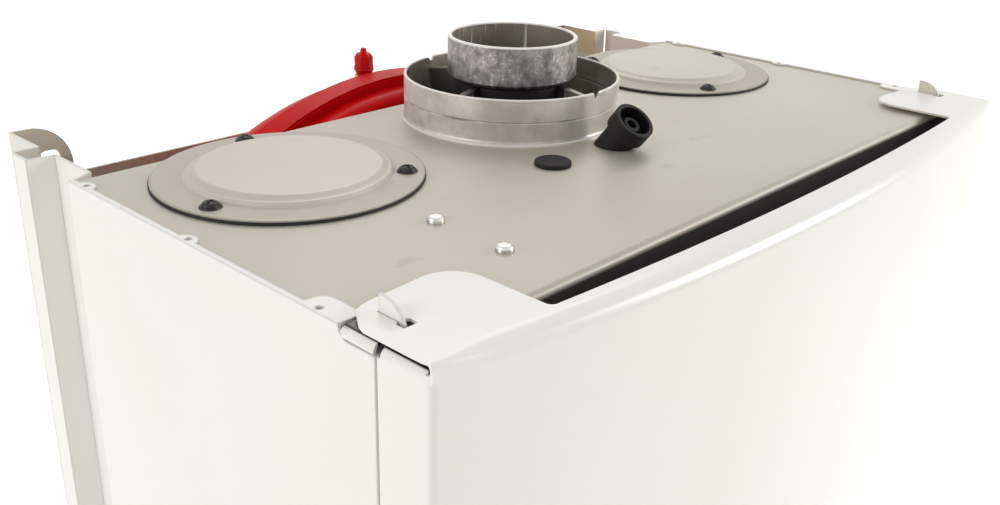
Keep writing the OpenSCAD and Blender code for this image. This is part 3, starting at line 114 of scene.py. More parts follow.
# %% Socket class
class Sock:
    """One output socket of a shader tree, usable like a number, a vector or a colour."""

    def __init__(self, tree, out):
        self.tree, self.out = tree, out

    def node(self, kind, inputs=(), output=0, **settings):
        """Adds a node of any kind, sets or links its inputs and returns one of its outputs."""
        made = self.tree.nodes.new(kind)
        for key, value in settings.items():
            setattr(made, key, value)
        for key, value in dict(inputs).items():
            if isinstance(value, Sock):
                self.tree.links.new(value.out, made.inputs[key])
            else:
                made.inputs[key].default_value = value
        return Sock(self.tree, made.outputs[output])

    def calc(self, sign, a, b):
        """a and b joined by a Math node, or by a Vector Math node if one of them is a vector."""
        kinds = [x.out.type if isinstance(x, Sock) else "" for x in (a, b)]
        if "VECTOR" in kinds:
            fix = [x if isinstance(x, Sock) or hasattr(x, "__len__") else (x,) * 3 for x in (a, b)]
            return self.node("ShaderNodeVectorMath", {0: fix[0], 1: fix[1]}, operation=sign)
        return self.node("ShaderNodeMath", {0: a, 1: b}, operation=sign)

    def __add__(self, other):
        return self.calc("ADD", self, other)

    def __sub__(self, other):
        return self.calc("SUBTRACT", self, other)

    def __rsub__(self, other):
        return self.calc("SUBTRACT", other, self)

    def __mul__(self, other):
        return self.calc("MULTIPLY", self, other)

    def __pow__(self, power):
        return self.calc("POWER", self, power)

    def __abs__(self):
        return self.node("ShaderNodeMath", {0: self}, operation="ABSOLUTE")

    def step(self, low, high):
        """0 below low, 1 above high and a smooth ramp between."""
        return self.node("ShaderNodeMapRange", {0: self, 1: low, 2: high, 3: 0.0, 4: 1.0},
                         interpolation_type="SMOOTHSTEP")

    def past(self, place, soft):
        """For a length: 0 before a place in mm, 1 after it, with a ramp of soft mm."""
        return self.step(place * MM, (place + soft) * MM)

    def between(self, low, high, soft):
        """1 between low and high and 0 outside, with ramps of width soft."""
        return self.step(low - soft, low) * (1 - self.step(high, high + soft))

    def mix(self, a, b):
        """The colour a where this value is 0 and b where it is 1."""
        fix = [x if isinstance(x, Sock) else linear(*x) + (1,) for x in (a, b)]
        return self.node("ShaderNodeMix", {0: self, 6: fix[0], 7: fix[1]}, 2, data_type="RGBA")

    def noise(self, scale, detail=3.0, rough=0.5):
        """Cloudy values from 0 to 1 whose features are about 1/scale of a metre."""
        return self.node("ShaderNodeTexNoise",
                         {"Vector": self, "Scale": scale, "Detail": detail, "Roughness": rough})

    def cells(self, scale):
        """Distance to the nearest of many scattered points, about 1/scale of a metre apart."""
        return self.node("ShaderNodeTexVoronoi", {"Vector": self, "Scale": scale})

    def parts(self):
        """The x, y and z of a vector."""
        return [self.node("ShaderNodeSeparateXYZ", {0: self}, i) for i in range(3)]

    def join(self, x, y, z):
        """A vector from three numbers."""
        return self.node("ShaderNodeCombineXYZ", {0: x, 1: y, 2: z})

    def turned(self, other):
        """The angle of the direction (other, self), in radians."""
        return self.node("ShaderNodeMath", {0: self, 1: other}, operation="ARCTAN2")

    def cosine(self):
        """The cosine of an angle in radians."""
        return self.node("ShaderNodeMath", {0: self}, operation="COSINE")


def linear(r, g, b):
    """Screen colour, 0 to 255, as linear light."""
    return tuple((c / 255 / 12.92) if c <= 10 else ((c / 255 + 0.055) / 1.055) ** 2.4 for c in (r, g, b))


print("socket class ready")

# %% [markdown]
# ## Round places
# Castings and dials are round, so their finishes are easier to say with a radius and an angle
# than with x, y and z. The angle comes from an arctangent, so it also tells left from right.


# %% Round places
def round_axis(p, x, y):
    """Radius and angle about an upright axis, and the height, all from object coordinates."""
    px, py, pz = p.parts()
    dx, dy = px - x * MM, py - y * MM
    return (dx * dx + dy * dy) ** 0.5, dy.turned(dx), pz


def round_dial(p, node):
    """Radius and angle about the axis of a round node that faces the front."""
    x, _, z = middle(node)
    px, _, pz = p.parts()
    dx, dz = px - x * MM, pz - z * MM
    return (dx * dx + dz * dz) ** 0.5, dz.turned(dx)


print("round places ready, the gauge is at", middle("gauge_body"))

# %% [markdown]
# ## Paint maker
# `paint` makes a Principled material. Its plain colour is written as it looks on a screen and
# turned into linear light. A recipe gets the object coordinates and returns only what varies
# over the surface, with the bump height in millimetres. Everything else stays a constant on
# the shader's own socket, so that it survives an export.


# %% Paint maker
def paint(name, colour, rough=0.5, metal=0.0, recipe=None, edge=0.0, **fixed):
    """A Principled material; recipe(p) returns {input name: Sock}, with Height for the bump.

    With an edge radius in mm, a Bevel node turns the normals near a fold, as its round would.
    """
    material = bpy.data.materials.new(name)
    material.use_nodes = True
    tree = material.node_tree
    shader = tree.nodes["Principled BSDF"]
    shader.inputs["Base Color"].default_value = linear(*colour) + (1,)
    shader.inputs["Roughness"].default_value = rough
    shader.inputs["Metallic"].default_value = metal
    for key, value in fixed.items():
        shader.inputs[key.replace("_", " ")].default_value = value
    if recipe:
        place = tree.nodes.new("ShaderNodeTexCoord")
        for key, value in recipe(Sock(tree, place.outputs["Object"])).items():
            if key == "Height":
                inputs = {"Height": value, "Strength": 1.0, "Distance": MM}
                if edge:
                    inputs["Normal"] = value.node("ShaderNodeBevel", {"Radius": edge * MM}, samples=4)
                bump = value.node("ShaderNodeBump", inputs)
                tree.links.new(bump.out, shader.inputs["Normal"])
            else:
                tree.links.new(value.out, shader.inputs[key])
    return material


def plain_recipe(dark, light, rough, scale=40.0, spread=0.12, grain=900.0, height=0.01):
    """A recipe for an even finish: soft clouds between two tones and a fine grain."""
    def recipe(p):
        cloud = p.noise(scale, 3.0)
        return {"Base Color": cloud.step(0.3, 0.7).mix(dark, light),
                "Roughness": cloud * spread + rough, "Height": p.noise(grain, 2.0) * height}
    return recipe


print("paint maker ready")

# %% [markdown]
# ## Sheet metals
# The steel top and its round covers are coated sheet: almost even in tone, with long faint
# roll marks, soft clouds and a few dull smudges from handling. The frame behind is bright
# zinc. A photo texture could show this, but noise in object coordinates needs no file and
# follows every piece. The tones stay close together, because the real sheet is calm.

# %% Coated steel
# The lip that is painted dark as shade lies in front of LIP_Y and below LIP_Z
LIP_Y = -270.3
LIP_Z = TOP - 3.6


def sheet_tones(p, dark, light, stain):
    """Roll marks are noise stretched along X, smudges are a noise cut at its high values."""
    marks = (p * (14.0, 700.0, 700.0)).noise(1.0, 2.0)
    cloud = p.noise(9.0, 3.0)
    smudge = (p * (1.0, 1.6, 1.0)).noise(30.0, 4.0, 0.6).step(0.61, 0.70)
    tone = (cloud.step(0.3, 0.7) * 0.6 + marks * 0.4).mix(dark, light)
    return (smudge * 0.5).mix(tone, stain), {"Roughness": marks * 0.06 + cloud * 0.10 + smudge * 0.06 + 0.38,
                                             "Height": marks * 0.008}


def steel_recipe(p):
    """The plate's tones, painted lighter towards the right as painted light; its front lip, deep in the gap,
    is painted dark as shade.
    """
    px, py, pz = p.parts()
    colour, rest = sheet_tones(p, (178, 171, 158), (190, 184, 171), (168, 162, 151))
    # Painted light: the plate's colour gets lighter towards the right, as if more brightly lit there
    bright = px.past(-60.0, 220.0)
    colour = (bright * 0.5).mix(colour, (214, 208, 195))
    # Painted shade: the front lip deep in the gap is painted near-black
    lip = (1 - pz.past(LIP_Z, 1.6)) * (1 - py.past(LIP_Y, 1.0))
    return {"Base Color": (lip * 0.92).mix(colour, (20, 17, 12)), **rest}


print("steel recipe ready, dark lip in front of", LIP_Y)

# %% Round covers and zinc
# Inner radius of a cover's rim, half width of the wall frame, foot of its ears
RIM_R = 40.8
FRAME_SIDE = 188.3
EAR_LOW = TOP - 17.0


def cover_recipe(p):
    """The pressed middle is lighter than the flat rim round it."""
    px, py, _ = p.parts()
    x, y = AIR_COVERS["air_cover_right"]
    dx, dy = abs(px) - x * MM, py - y * MM
    rim = ((dx * dx + dy * dy) ** 0.5).past(RIM_R, 1.6)
    colour, rest = sheet_tones(p, (188, 181, 168), (200, 194, 182), (176, 170, 160))
    return {"Base Color": (rim * 0.75).mix(colour, (164, 156, 143)), **rest}


def zinc_recipe(p):
    """Voronoi cells give each zinc flake its tone; the frame's side faces are painted paler as painted light,
    and its ears differ.
    """
    px, _, pz = p.parts()
    flake = p.cells(420.0).step(0.1, 0.9)
    cloud = p.noise(30.0, 3.0)
    # Painted light: the frame's side faces are painted paler, as if brightly lit
    outer = abs(px).past(FRAME_SIDE, 0.4)
    ear = pz.past(EAR_LOW, 2.0) * (1 - outer)
    tone = (flake * 0.45 + cloud * 0.55).mix((170, 164, 146), (196, 191, 175))
    tone = ear.mix(tone, px.past(0.0, 10.0).mix((214, 211, 194), (178, 160, 130)))
    return {"Base Color": (outer * 0.85).mix(tone, (230, 228, 220)), "Roughness": cloud * 0.16 + 0.38}


print("round cover and zinc recipes ready")

# %% [markdown]
# ## Powder coat
# The case is white powder coat: nearly smooth, a little glossy, with a very fine orange peel.
# Inside, the side panels are a darker beige, and the dark inside the cover's tight side folds is painted
# shade.
# These faces could be meshes of their own, but the direction of a face and its place already
# tell them apart, so the recipes mix the second colour in.

# %% Powder coat
# The painted shade in the cover's side folds lies between the side walls, behind a depth and between two
# heights
FOLD_SHADE_X = 198.0
FOLD_SHADE_Y = -284.0
FOLD_SHADE_LOW, FOLD_SHADE_HIGH = TOP - 6.0, TOP + 1.6


def white_recipe(p):
    """White outside; the inner faces of the side panels, told by their normals, are a darker beige."""
    cloud = p.noise(5.0, 2.0)
    normal = p.node("ShaderNodeNewGeometry", output="True Normal")
    inner_faces = 1 - (normal.parts()[0] * p.parts()[0]).step(-0.14, -0.10)
    coat = cloud.step(0.3, 0.7).mix((242, 240, 233), (246, 244, 239))
    return {"Base Color": inner_faces.mix(coat, (206, 199, 184)),
            "Roughness": cloud * 0.06 + 0.30, "Height": p.noise(900.0, 2.0) * 0.012}


def gloss_recipe(p):
    """The same coat on the cover, a little glossier; inside the side folds it is painted near-black as shade.
    """
    px, py, pz = p.parts()
    coat = white_recipe(p)
    # Painted shade: near-black inside the side folds, under the hook tabs
    fold_shade = (1 - abs(px).past(FOLD_SHADE_X, 0.5)) * py.past(FOLD_SHADE_Y, 0.6)
    fold_shade = fold_shade * pz.past(FOLD_SHADE_LOW, 0.5) * (1 - pz.past(FOLD_SHADE_HIGH, 0.3))
    return {**coat, "Base Color": fold_shade.mix(coat["Base Color"], (14, 12, 9)),
            "Roughness": p.noise(5.0, 2.0) * 0.05 + 0.20}


print("powder coat ready")

# %% [markdown]
# ## Castings of the flue
# The collar is a satin casting. Its outside is pale and blotchy, with a fine groove that is
# dirty here and there. Its right side is painted lighter as painted light, and the edge at its
# foot and its rim carry painted highlights. The inside is dark, with short tool marks under the
# rim. The spigot is duller and mottled, with bright spangles outside and upright streaks inside,
# and its neck, down in the collar, is painted black as shade. Radius, angle and height about the
# flue axis tell these places apart, so one recipe can dress the whole casting.

# %% Collar
# Radius of the bore, then the heights of its parts from the foot up
COLLAR_BORE = 50.4
COLLAR_FOOT, GROOVE, COLLAR_UPPER = TOP + 0.7, TOP + 10.3, TOP + 10.6
TOOL_MARKS, COLLAR_RIM = TOP + 17.6, TOP + 20.5
GROOVE_W = 0.6


def collar_recipe(p):
    """Outside, rim and bore by radius and height, the rim and foot with painted highlights; the groove's
    dirt, the tool marks and the painted light on the right side by angle.
    """
    radius, angle, height = round_axis(p, *FLUE)
    inner = 1 - radius.past(COLLAR_BORE, 0.5)
    # Painted highlight: the rim is painted lighter than the outside
    rim = height.past(COLLAR_RIM, 0.4)
    groove = height.between(GROOVE * MM, (GROOVE + GROOVE_W) * MM, 0.25 * MM)
    groove = groove * p.noise(40.0, 2.0).step(0.46, 0.64)
    blotch = p.noise(46.0, 4.0, 0.6).step(0.38, 0.68)
    outside = (height.past(COLLAR_UPPER, 0.8) * 0.2 + blotch * 0.8).mix((176, 169, 161), (212, 206, 200))
    # Painted light: the right side, turning towards the front, is painted lighter
    outside = (angle.between(-0.9, 0.3, 0.5) * 0.6).mix(outside, (236, 231, 225))
    outside = (groove * 0.6).mix(outside, (96, 90, 84))
    # Painted highlight: the edge at the foot is painted lighter
    outside = (1 - height.past(COLLAR_FOOT, 0.6)).mix(outside, (232, 228, 222))
    tick = (angle * 130.0).cosine().step(0.1, 0.7) * angle.between(0.55, 1.25, 0.1)
    tick = tick * height.past(TOOL_MARKS, 0.6)
    inside = (tick * 0.8).mix(blotch.mix((138, 129, 115), (172, 164, 149)), (216, 210, 200))
    colour = (inner * (1 - rim)).mix(outside, inside)
    return {"Base Color": rim.mix(colour, (226, 219, 213)), "Metallic": 0.4 - inner * 0.35,
            "Roughness": blotch * 0.14 + 0.34, "Height": p.noise(700.0, 3.0) * 0.02 - groove * 0.2}


print("collar recipe ready, groove at", GROOVE)

# %% Spigot
# Radii of the bore and of the webs' inner ends, then the heights of the neck's top and the rim
SPIGOT_BORE, SPIGOT_WEB = 28.9, 31.2
NECK_TOP, SPIGOT_RIM = TOP + 19.6, TOP + 38.6


def spigot_recipe(p):
    """Mottled skin on coordinates wrapped round the tube, a neck painted black as shade, and grey webs
    outside it.
    """
    radius, angle, height = round_axis(p, *FLUE)
    inner = 1 - radius.past(SPIGOT_BORE, 0.5)
    web = radius.past(SPIGOT_WEB, 0.6)
    # Painted shade: the neck, down in the collar, is painted near-black
    neck = (1 - height.past(NECK_TOP, 1.0)) * (1 - web)
    patch = p.join(angle * 0.03, height * 0.85, 0.0).noise(190.0, 5.0, 0.68)
    speck = p.join(angle * 0.03, height * 0.9, 1.0).noise(760.0, 3.0, 0.65).step(0.52, 0.68)
    streak = p.join(angle * 9.0, height * 14.0, 2.0).noise(1.4, 3.0, 0.7).step(0.56, 0.70)
    outside = patch.step(0.32, 0.68).mix((118, 113, 111), (172, 165, 162))
    outside = (speck * patch.step(0.42, 0.60) * 0.6).mix(outside, (236, 231, 229))
    inside = (streak * angle.between(0.35, 1.75, 0.2) * 0.9).mix((140, 131, 120), (236, 232, 226))
    colour = web.mix(inner.mix(outside, inside), (138, 133, 126))
    colour = height.past(SPIGOT_RIM, 0.4).mix(colour, (222, 217, 213))
    return {"Base Color": neck.mix(colour, (20, 17, 14)),
            "Metallic": 0.85 - (neck + inner).step(0.0, 1.0) * 0.6,
            "Roughness": patch * 0.22 + neck * 0.3 + 0.26, "Height": patch * 0.04 + speck * 0.03}


print("spigot recipe ready, rim at", SPIGOT_RIM)

# %% [markdown]
# ## Vessel paint and dials
# The vessel is glossy red enamel, a little cloudy. The control panel has
# short printed ticks round the two knobs, and the gauge face has a ring of ticks, with no
# words. A cosine of the angle repeats a tick as often as wanted, and a ring of radii cuts it.

# %% Vessel paint and dials
# Inner and outer radius of each ring of ticks, and the radius of the gauge's pale face
KNOB_RING = (20.2, 22.6)
GAUGE_RING = (13.2, 16.2)
GAUGE_FACE_R = 17.4


def enamel_recipe(p):
    """Two close reds in soft clouds, with a slow wave in the paint."""
    cloud = p.noise(24.0, 3.0)
    return {"Base Color": cloud.step(0.3, 0.7).mix((196, 9, 5), (206, 11, 6)),
            "Roughness": cloud * 0.08 + 0.30, "Height": p.noise(160.0, 2.0) * 0.015}


def ticks(radius, angle, ring, count, thin=0.94):
    """Marks where a cosine of count turns is near 1, kept in a ring, open at the bottom."""
    ring = radius.between(ring[0] * MM, ring[1] * MM, 0.2 * MM)
    gap = 1 - (angle + math.pi / 2).cosine().step(0.72, 0.74)
    return (angle * float(count)).cosine().step(thin, thin + 0.02) * ring * gap


def panel_recipe(p):
    """White plastic with grey ticks round the two knobs."""
    left, right = (ticks(*round_dial(p, node), KNOB_RING, 24) for node in ("knob_heating", "knob_water"))
    cloud = p.noise(5.0, 2.0)
    return {"Base Color": (left + right).mix(cloud.mix((236, 235, 230), (242, 241, 237)), (96, 100, 106)),
            "Roughness": cloud * 0.06 + 0.36, "Height": p.noise(900.0, 2.0) * 0.015}


def gauge_recipe(p):
    """A pale face with a black ring of ticks, and a dark rim outside it."""
    radius, angle = round_dial(p, "gauge_body")
    marks = ticks(radius, angle, GAUGE_RING, 32, 0.86)
    face = p.noise(60.0, 2.0).mix((232, 232, 227), (240, 240, 236))
    return {"Base Color": radius.past(GAUGE_FACE_R, 0.2).mix(marks.mix(face, (24, 24, 26)), (54, 56, 58)),
            "Roughness": p.noise(300.0, 2.0) * 0.1 + 0.35}


print("dial recipes ready")

# %% [markdown]
# ## The list of finishes
# Each material slot of the record gets its finish. The case, the flue and the vessel have
# recipes of their own. Rubber, plastics, ceramic and the pipes share one recipe with their own
# two tones, because they differ only in tone and grain.

# %% Finishes of the case and the flue
LOOKS = {
    "galvanised": paint("zinc_sheet", (190, 186, 168), 0.42, 0.15, zinc_recipe),
    "white_paint": paint("white_coat", (245, 244, 239), 0.33, 0.0, white_recipe, 1.4),
    "steel": paint("coated_steel", (188, 181, 168), 0.4, 0.30, steel_recipe),
    "cover_steel": paint("cover_steel", (194, 187, 175), 0.4, 0.30, cover_recipe),
    "cast_alloy": paint("cast_alloy", (190, 182, 174), 0.35, 0.75, collar_recipe),
    "dull_alloy": paint("dull_alloy", (150, 147, 142), 0.4, 0.85, spigot_recipe),
    "red_paint": paint("red_enamel", (176, 6, 4), 0.2, 0.0, enamel_recipe, Specular_IOR_Level=0.06),
    "white_plastic": paint("white_plastic", (240, 239, 234), 0.38, 0.0, panel_recipe),
    "gauge_face": paint("gauge_face", (236, 236, 232), 0.4, 0.0, gauge_recipe),
}
print("finishes with a recipe of their own:", len(LOOKS))

# %% Rubber, glass and ceramic
LOOKS.update({
    "seal_rubber": paint("seal_rubber", (22, 21, 20), 0.7, 0.0,
                         plain_recipe((16, 15, 14), (28, 27, 25), 0.6, height=0.03)),
    "plug_rubber": paint("plug_rubber", (62, 57, 52), 0.55, 0.0,
                         plain_recipe((14, 12, 9), (26, 23, 19), 0.6, 120.0, height=0.03),
                         Specular_IOR_Level=0.25),
    "nozzle_rubber": paint("nozzle_rubber", (25, 22, 20), 0.42, 0.0,
                           plain_recipe((9, 7, 6), (18, 15, 13), 0.45, 120.0, height=0.03),
                           Specular_IOR_Level=0.3),
    "hose": paint("hose", (176, 62, 36), 0.5, 0.0, plain_recipe((160, 54, 30), (186, 70, 42), 0.44, 60.0)),
    "glass": paint("sight_glass", (225, 235, 232), 0.05, 0.0,
                   plain_recipe((218, 230, 226), (232, 240, 237), 0.03, spread=0.06, height=0.0), Alpha=0.35),
    "fibre": paint("fibre", (230, 224, 208), 0.95, 0.0,
                   plain_recipe((216, 208, 190), (238, 233, 219), 0.88, 120.0, 0.1, 500.0, 0.3)),
    "ceramic": paint("ceramic", (235, 232, 224), 0.2, 0.0,
                     plain_recipe((228, 225, 216), (240, 237, 230), 0.16, 60.0)),
})
print("finishes with rubber, glass and ceramic:", len(LOOKS))

# %% Metals
LOOKS.update({
    "dark_screw": paint("dark_screw", (34, 31, 28), 0.42, 0.4,
                        plain_recipe((24, 22, 20), (46, 42, 38), 0.36, 300.0)),
    "bright_screw": paint("bright_screw", (214, 212, 206), 0.2, 1.0,
                          plain_recipe((200, 198, 192), (222, 220, 214), 0.18, 200.0)),
    "brass": paint("brass", (190, 158, 98), 0.3, 1.0,
                   plain_recipe((176, 142, 84), (204, 172, 110), 0.25, 60.0)),
    "copper": paint("copper", (190, 120, 84), 0.3, 1.0,
                    plain_recipe((168, 96, 62), (208, 140, 102), 0.22, 40.0, 0.2)),
    "steel_pipe": paint("steel_pipe", (182, 178, 170), 0.3, 0.9,
                        plain_recipe((168, 164, 156), (192, 188, 181), 0.26, 50.0)),
    "wheel_alloy": paint("wheel_alloy", (184, 182, 178), 0.35, 0.9,
                         plain_recipe((172, 170, 166), (194, 192, 188), 0.3, 50.0)),
    "stainless": paint("stainless", (180, 178, 174), 0.3, 0.95,
                       plain_recipe((168, 166, 162), (190, 188, 184), 0.26, 30.0)),
    "motor_metal": paint("motor_metal", (70, 70, 72), 0.5, 0.4,
                         plain_recipe((60, 60, 62), (82, 82, 84), 0.42, 60.0, height=0.03)),
    "pump_iron": paint("pump_iron", (58, 58, 60), 0.6, 0.3,
                       plain_recipe((48, 48, 50), (70, 70, 72), 0.52, 90.0, 0.15, 500.0, 0.15)),
})
print("finishes with metals:", len(LOOKS))

# %% Paints and plastics
LOOKS.update({
    "red_cap": paint("red_cap", (176, 12, 10), 0.3, 0.0,
                     plain_recipe((178, 5, 4), (198, 10, 8), 0.28, 200.0), Specular_IOR_Level=0.15),
    "pump_paint": paint("pump_paint", (46, 54, 56), 0.4, 0.0,
                        plain_recipe((40, 48, 50), (54, 62, 64), 0.34, 60.0, height=0.03)),
    "switch_plastic": paint("switch_plastic", (222, 218, 206), 0.5, 0.0,
                            plain_recipe((216, 212, 199), (228, 224, 213), 0.44, 40.0)),
    "black_plastic": paint("black_plastic", (30, 30, 30), 0.45, 0.0,
                           plain_recipe((25, 25, 25), (36, 36, 36), 0.4, 60.0, height=0.03)),
    "red_plastic": paint("red_plastic", (186, 26, 20), 0.4, 0.0,
                         plain_recipe((176, 22, 16), (194, 32, 25), 0.34, 60.0)),
    "blue_plastic": paint("blue_plastic", (28, 70, 150), 0.4, 0.0,
                          plain_recipe((24, 62, 138), (34, 78, 160), 0.34, 60.0)),
    "board": paint("board", (26, 92, 54), 0.4, 0.0, plain_recipe((22, 82, 47), (32, 100, 60), 0.34, 90.0)),
    "dark_window": paint("dark_window", (22, 24, 26), 0.08, 0.0,
                         plain_recipe((18, 20, 22), (27, 29, 31), 0.06, 30.0, 0.05, 900.0, 0.0)),
    "knob_plastic": paint("knob_plastic", (172, 174, 176), 0.38, 0.0,
                          plain_recipe((165, 167, 169), (179, 181, 183), 0.32, 90.0)),
    "button_plastic": paint("button_plastic", (150, 152, 156), 0.4, 0.0,
                            plain_recipe((143, 145, 149), (157, 159, 163), 0.34, 90.0)),
    "pointer_black": paint("pointer_black", (16, 16, 16), 0.4, 0.0,
                           plain_recipe((12, 12, 12), (22, 22, 22), 0.36, 200.0)),
})
print("finishes in all:", len(LOOKS))

# %% Dress the nodes
slot_of = {s["node"]: s["material_slot"] for s in frame["record"]["subparts"]}
for name, piece in frame["nodes"].items():
    piece.data.materials.clear()
    piece.data.materials.append(LOOKS[slot_of[name]])
print("dressed nodes:", len(slot_of))

# %% [markdown]
# ## Softened edges
# Moulded plastic and rubber have no knife edges: each edge is a small radius that catches the
# light. A CAD node is left as it is, so a welded copy stands for it. The copy's flat areas are
# merged, and a Bevel modifier rounds its sharp edges. A Weighted Normal modifier keeps the
# large faces flat. The side panels keep their CAD mesh: a real bevel would eat into a 1 mm
# sheet, so their paint rounds only the normals near a fold, with a Bevel node.

# %% Softened copies
# Edge radius of each softened node in mm, and the angles in degrees
EDGE_RADII = {"control_fascia": 0.8, "control_box": 0.5, "knob_heating": 0.5, "knob_water": 0.5,
              "reset_button": 0.5, "mode_button": 0.5, "gauge_body": 0.4, "test_plug": 0.3,
              "test_nozzle": 0.35}
SAME_POINT = 2e-6
FLAT_ANGLE, SHARP_ANGLE = 0.05, 28.0


def softened(node, width):
    """A copy of a CAD node whose sharp edges are rounded to width mm."""
    source = frame["nodes"][node]
    shape = bmesh.new()
    shape.from_mesh(source.data)
    bmesh.ops.remove_doubles(shape, verts=shape.verts, dist=SAME_POINT)
    bmesh.ops.dissolve_limit(shape, angle_limit=math.radians(FLAT_ANGLE),
                             verts=shape.verts, edges=shape.edges)
    mesh = bpy.data.meshes.new(node + "_soft")
    shape.to_mesh(mesh)
    shape.free()
    mesh.polygons.foreach_set("use_smooth", np.ones(len(mesh.polygons), bool))
    mesh.materials.clear()
    mesh.materials.append(LOOKS[slot_of[node]])
    piece = bpy.data.objects.new(node + "_soft", mesh)
    bpy.context.scene.collection.objects.link(piece)
    bevel = piece.modifiers.new("edges", "BEVEL")
    bevel.limit_method, bevel.width, bevel.segments = "ANGLE", width * MM, 3
    bevel.angle_limit = math.radians(SHARP_ANGLE)
    normals = piece.modifiers.new("normals", "WEIGHTED_NORMAL")
    normals.mode, normals.weight = "FACE_AREA", 80
    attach(piece, body_of(source)[0])
    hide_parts(node)


for node, width in EDGE_RADII.items():
    softened(node, width)
print("softened pieces:", len(EDGE_RADII))

# %% [markdown]
# ## Closed shells
# A new piece is one or more closed shells. Each shell is a grid of points in which every row is
# a loop, and faces join each row to the next. A shell could also be built face by face, but a
# grid comes from one formula, with no loop over its points. The shells then become one mesh
# with its faces turned outwards.

# %% Closed shells
WELD = 1e-7


def joined_loops(grid):
    """The points of a grid (rows, columns, 3) and the faces that join each closed row to the next."""
    rows, columns = grid.shape[:2]
    index = np.arange(rows * columns).reshape(rows, columns)
    ahead = np.roll(index, -1, 1)
    quads = np.stack([index[:-1], ahead[:-1], ahead[1:], index[1:]], -1).reshape(-1, 4)
    return grid.reshape(-1, 3), quads.tolist()


def closed_mesh(name, shells, sharp, weld=False):
    """One mesh from shells of (points in mm, faces), smooth where faces meet below sharp degrees."""
    points, faces, base = [], [], 0
    for shell_points, shell_faces in shells:
        points.append(shell_points)
        faces += [[base + k for k in face] for face in shell_faces]
        base += len(shell_points)
    mesh = bpy.data.meshes.new(name)
    mesh.from_pydata((np.concatenate(points) * MM).tolist(), [], faces)
    shape = bmesh.new()
    shape.from_mesh(mesh)
    if weld:
        bmesh.ops.remove_doubles(shape, verts=shape.verts, dist=WELD)
    bmesh.ops.recalc_face_normals(shape, faces=shape.faces)
    shape.to_mesh(mesh)
    shape.free()
    mesh.polygons.foreach_set("use_smooth", np.ones(len(mesh.polygons), bool))
    mesh.set_sharp_from_angle(angle=math.radians(sharp))
    return mesh


def stand(name, mesh, body, slot, *nodes, look=None):
    """Puts a finished mesh into the scene, on its body, with its slot and the nodes it replaces."""
    mesh.materials.append(look or LOOKS[slot])
    piece = bpy.data.objects.new(name, mesh)
    bpy.context.scene.collection.objects.link(piece)
    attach(piece, body)
    if nodes:
        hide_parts(*nodes)
    print(name, "faces:", len(mesh.polygons))


print("closed shells ready")

# %% [markdown]
# ## Turned surfaces
# Round covers and screw heads are surfaces of revolution. `turned_shell` takes a height for
# each point of a polar grid and puts a second skin below it, and the poles are welded, so that
# the shell is closed. Since the height is a function of radius and angle, a cross slot or a
# soft shoulder is one line of numpy.


# %% Turned surfaces
def turned_shell(centre, radii, height, floor, steps):
    """Points (r cos a, r sin a, height(r, a)) above and (.., floor(r)) below, in loops of steps points."""
    angle = np.linspace(0, 2 * np.pi, steps, endpoint=False)
    r, a = np.meshgrid(radii, angle, indexing="ij")
    upper = np.stack([centre[0] + r * np.cos(a), centre[1] + r * np.sin(a), height(r, a)], -1)
    lower = np.stack([upper[..., 0], upper[..., 1], floor(r)], -1)[::-1]
    return joined_loops(np.concatenate([upper, lower]))


def smooth(x):
    """0 below 0, 1 above 1, and 3x^2 - 2x^3 between."""
    x = np.clip(x, 0, 1)
    return x * x * (3 - 2 * x)


print("turned surfaces ready")

# %% [markdown]
# ## Round air covers
# Each cover is pressed sheet: a flat rim, a short steep step, a longer soft shoulder and a flat
# middle. The two steps of different width give the two fine lines that the shoulder shows.

# %% Round air covers
GASKET, SHEET = 1.2, 0.8
RIM_Z = TOP + GASKET
# Where the steep step, the soft shoulder and the rounded edge begin, how wide and how high
STEP_R, STEP_W, STEP_H = 42.0, 2.0, 1.7
SHOULDER_R, SHOULDER_W, SHOULDER_H = 40.2, 4.2, 1.9
EDGE_R, EDGE_W, EDGE_DROP = 53.2, 0.75, 0.25
# Rings of points: few on the flat middle, many on the steps, and the rounded edge
COVER_RINGS = np.concatenate([[0.0], np.linspace(10, 34, 5), np.linspace(35, 42.5, 26),
                              [46.0, 50.0, 53.0, 53.3, 53.6, 53.9]])


def cover_height(r, a=None):
    """Rim height less the edge's round, plus a steep smooth step, plus a wide smooth shoulder."""
    edge = EDGE_DROP * smooth((r - EDGE_R) / EDGE_W)
    step = STEP_H * smooth((STEP_R - r) / STEP_W)
    return RIM_Z + SHEET - edge + step + SHOULDER_H * smooth((SHOULDER_R - r) / SHOULDER_W)


def cover_floor(r):
    """The same height one sheet lower, and never below the gasket's top."""
    return np.maximum(cover_height(r) - SHEET, RIM_Z)


for node, centre in AIR_COVERS.items():
    shell = turned_shell(centre, COVER_RINGS, cover_height, cover_floor, 160)
    mesh = closed_mesh(node + "_pressed", [shell], 50, weld=True)
    stand(node + "_pressed", mesh, "boiler", slot_of[node], node)

# %% [markdown]
# ## Front cover
# The cover is one bowed sheet. Its front turns back over a soft fold of 6 mm into the top
# flange, and its sides end in a smaller fold under the hook tabs, with a cut at each corner
# where the two folds would meet. The bend radii are what catches the light, so the cover is
# built again as profiles carried along its plan: each profile is a closed loop of (distance
# inwards, height), and each point of the plan knows its inward direction.

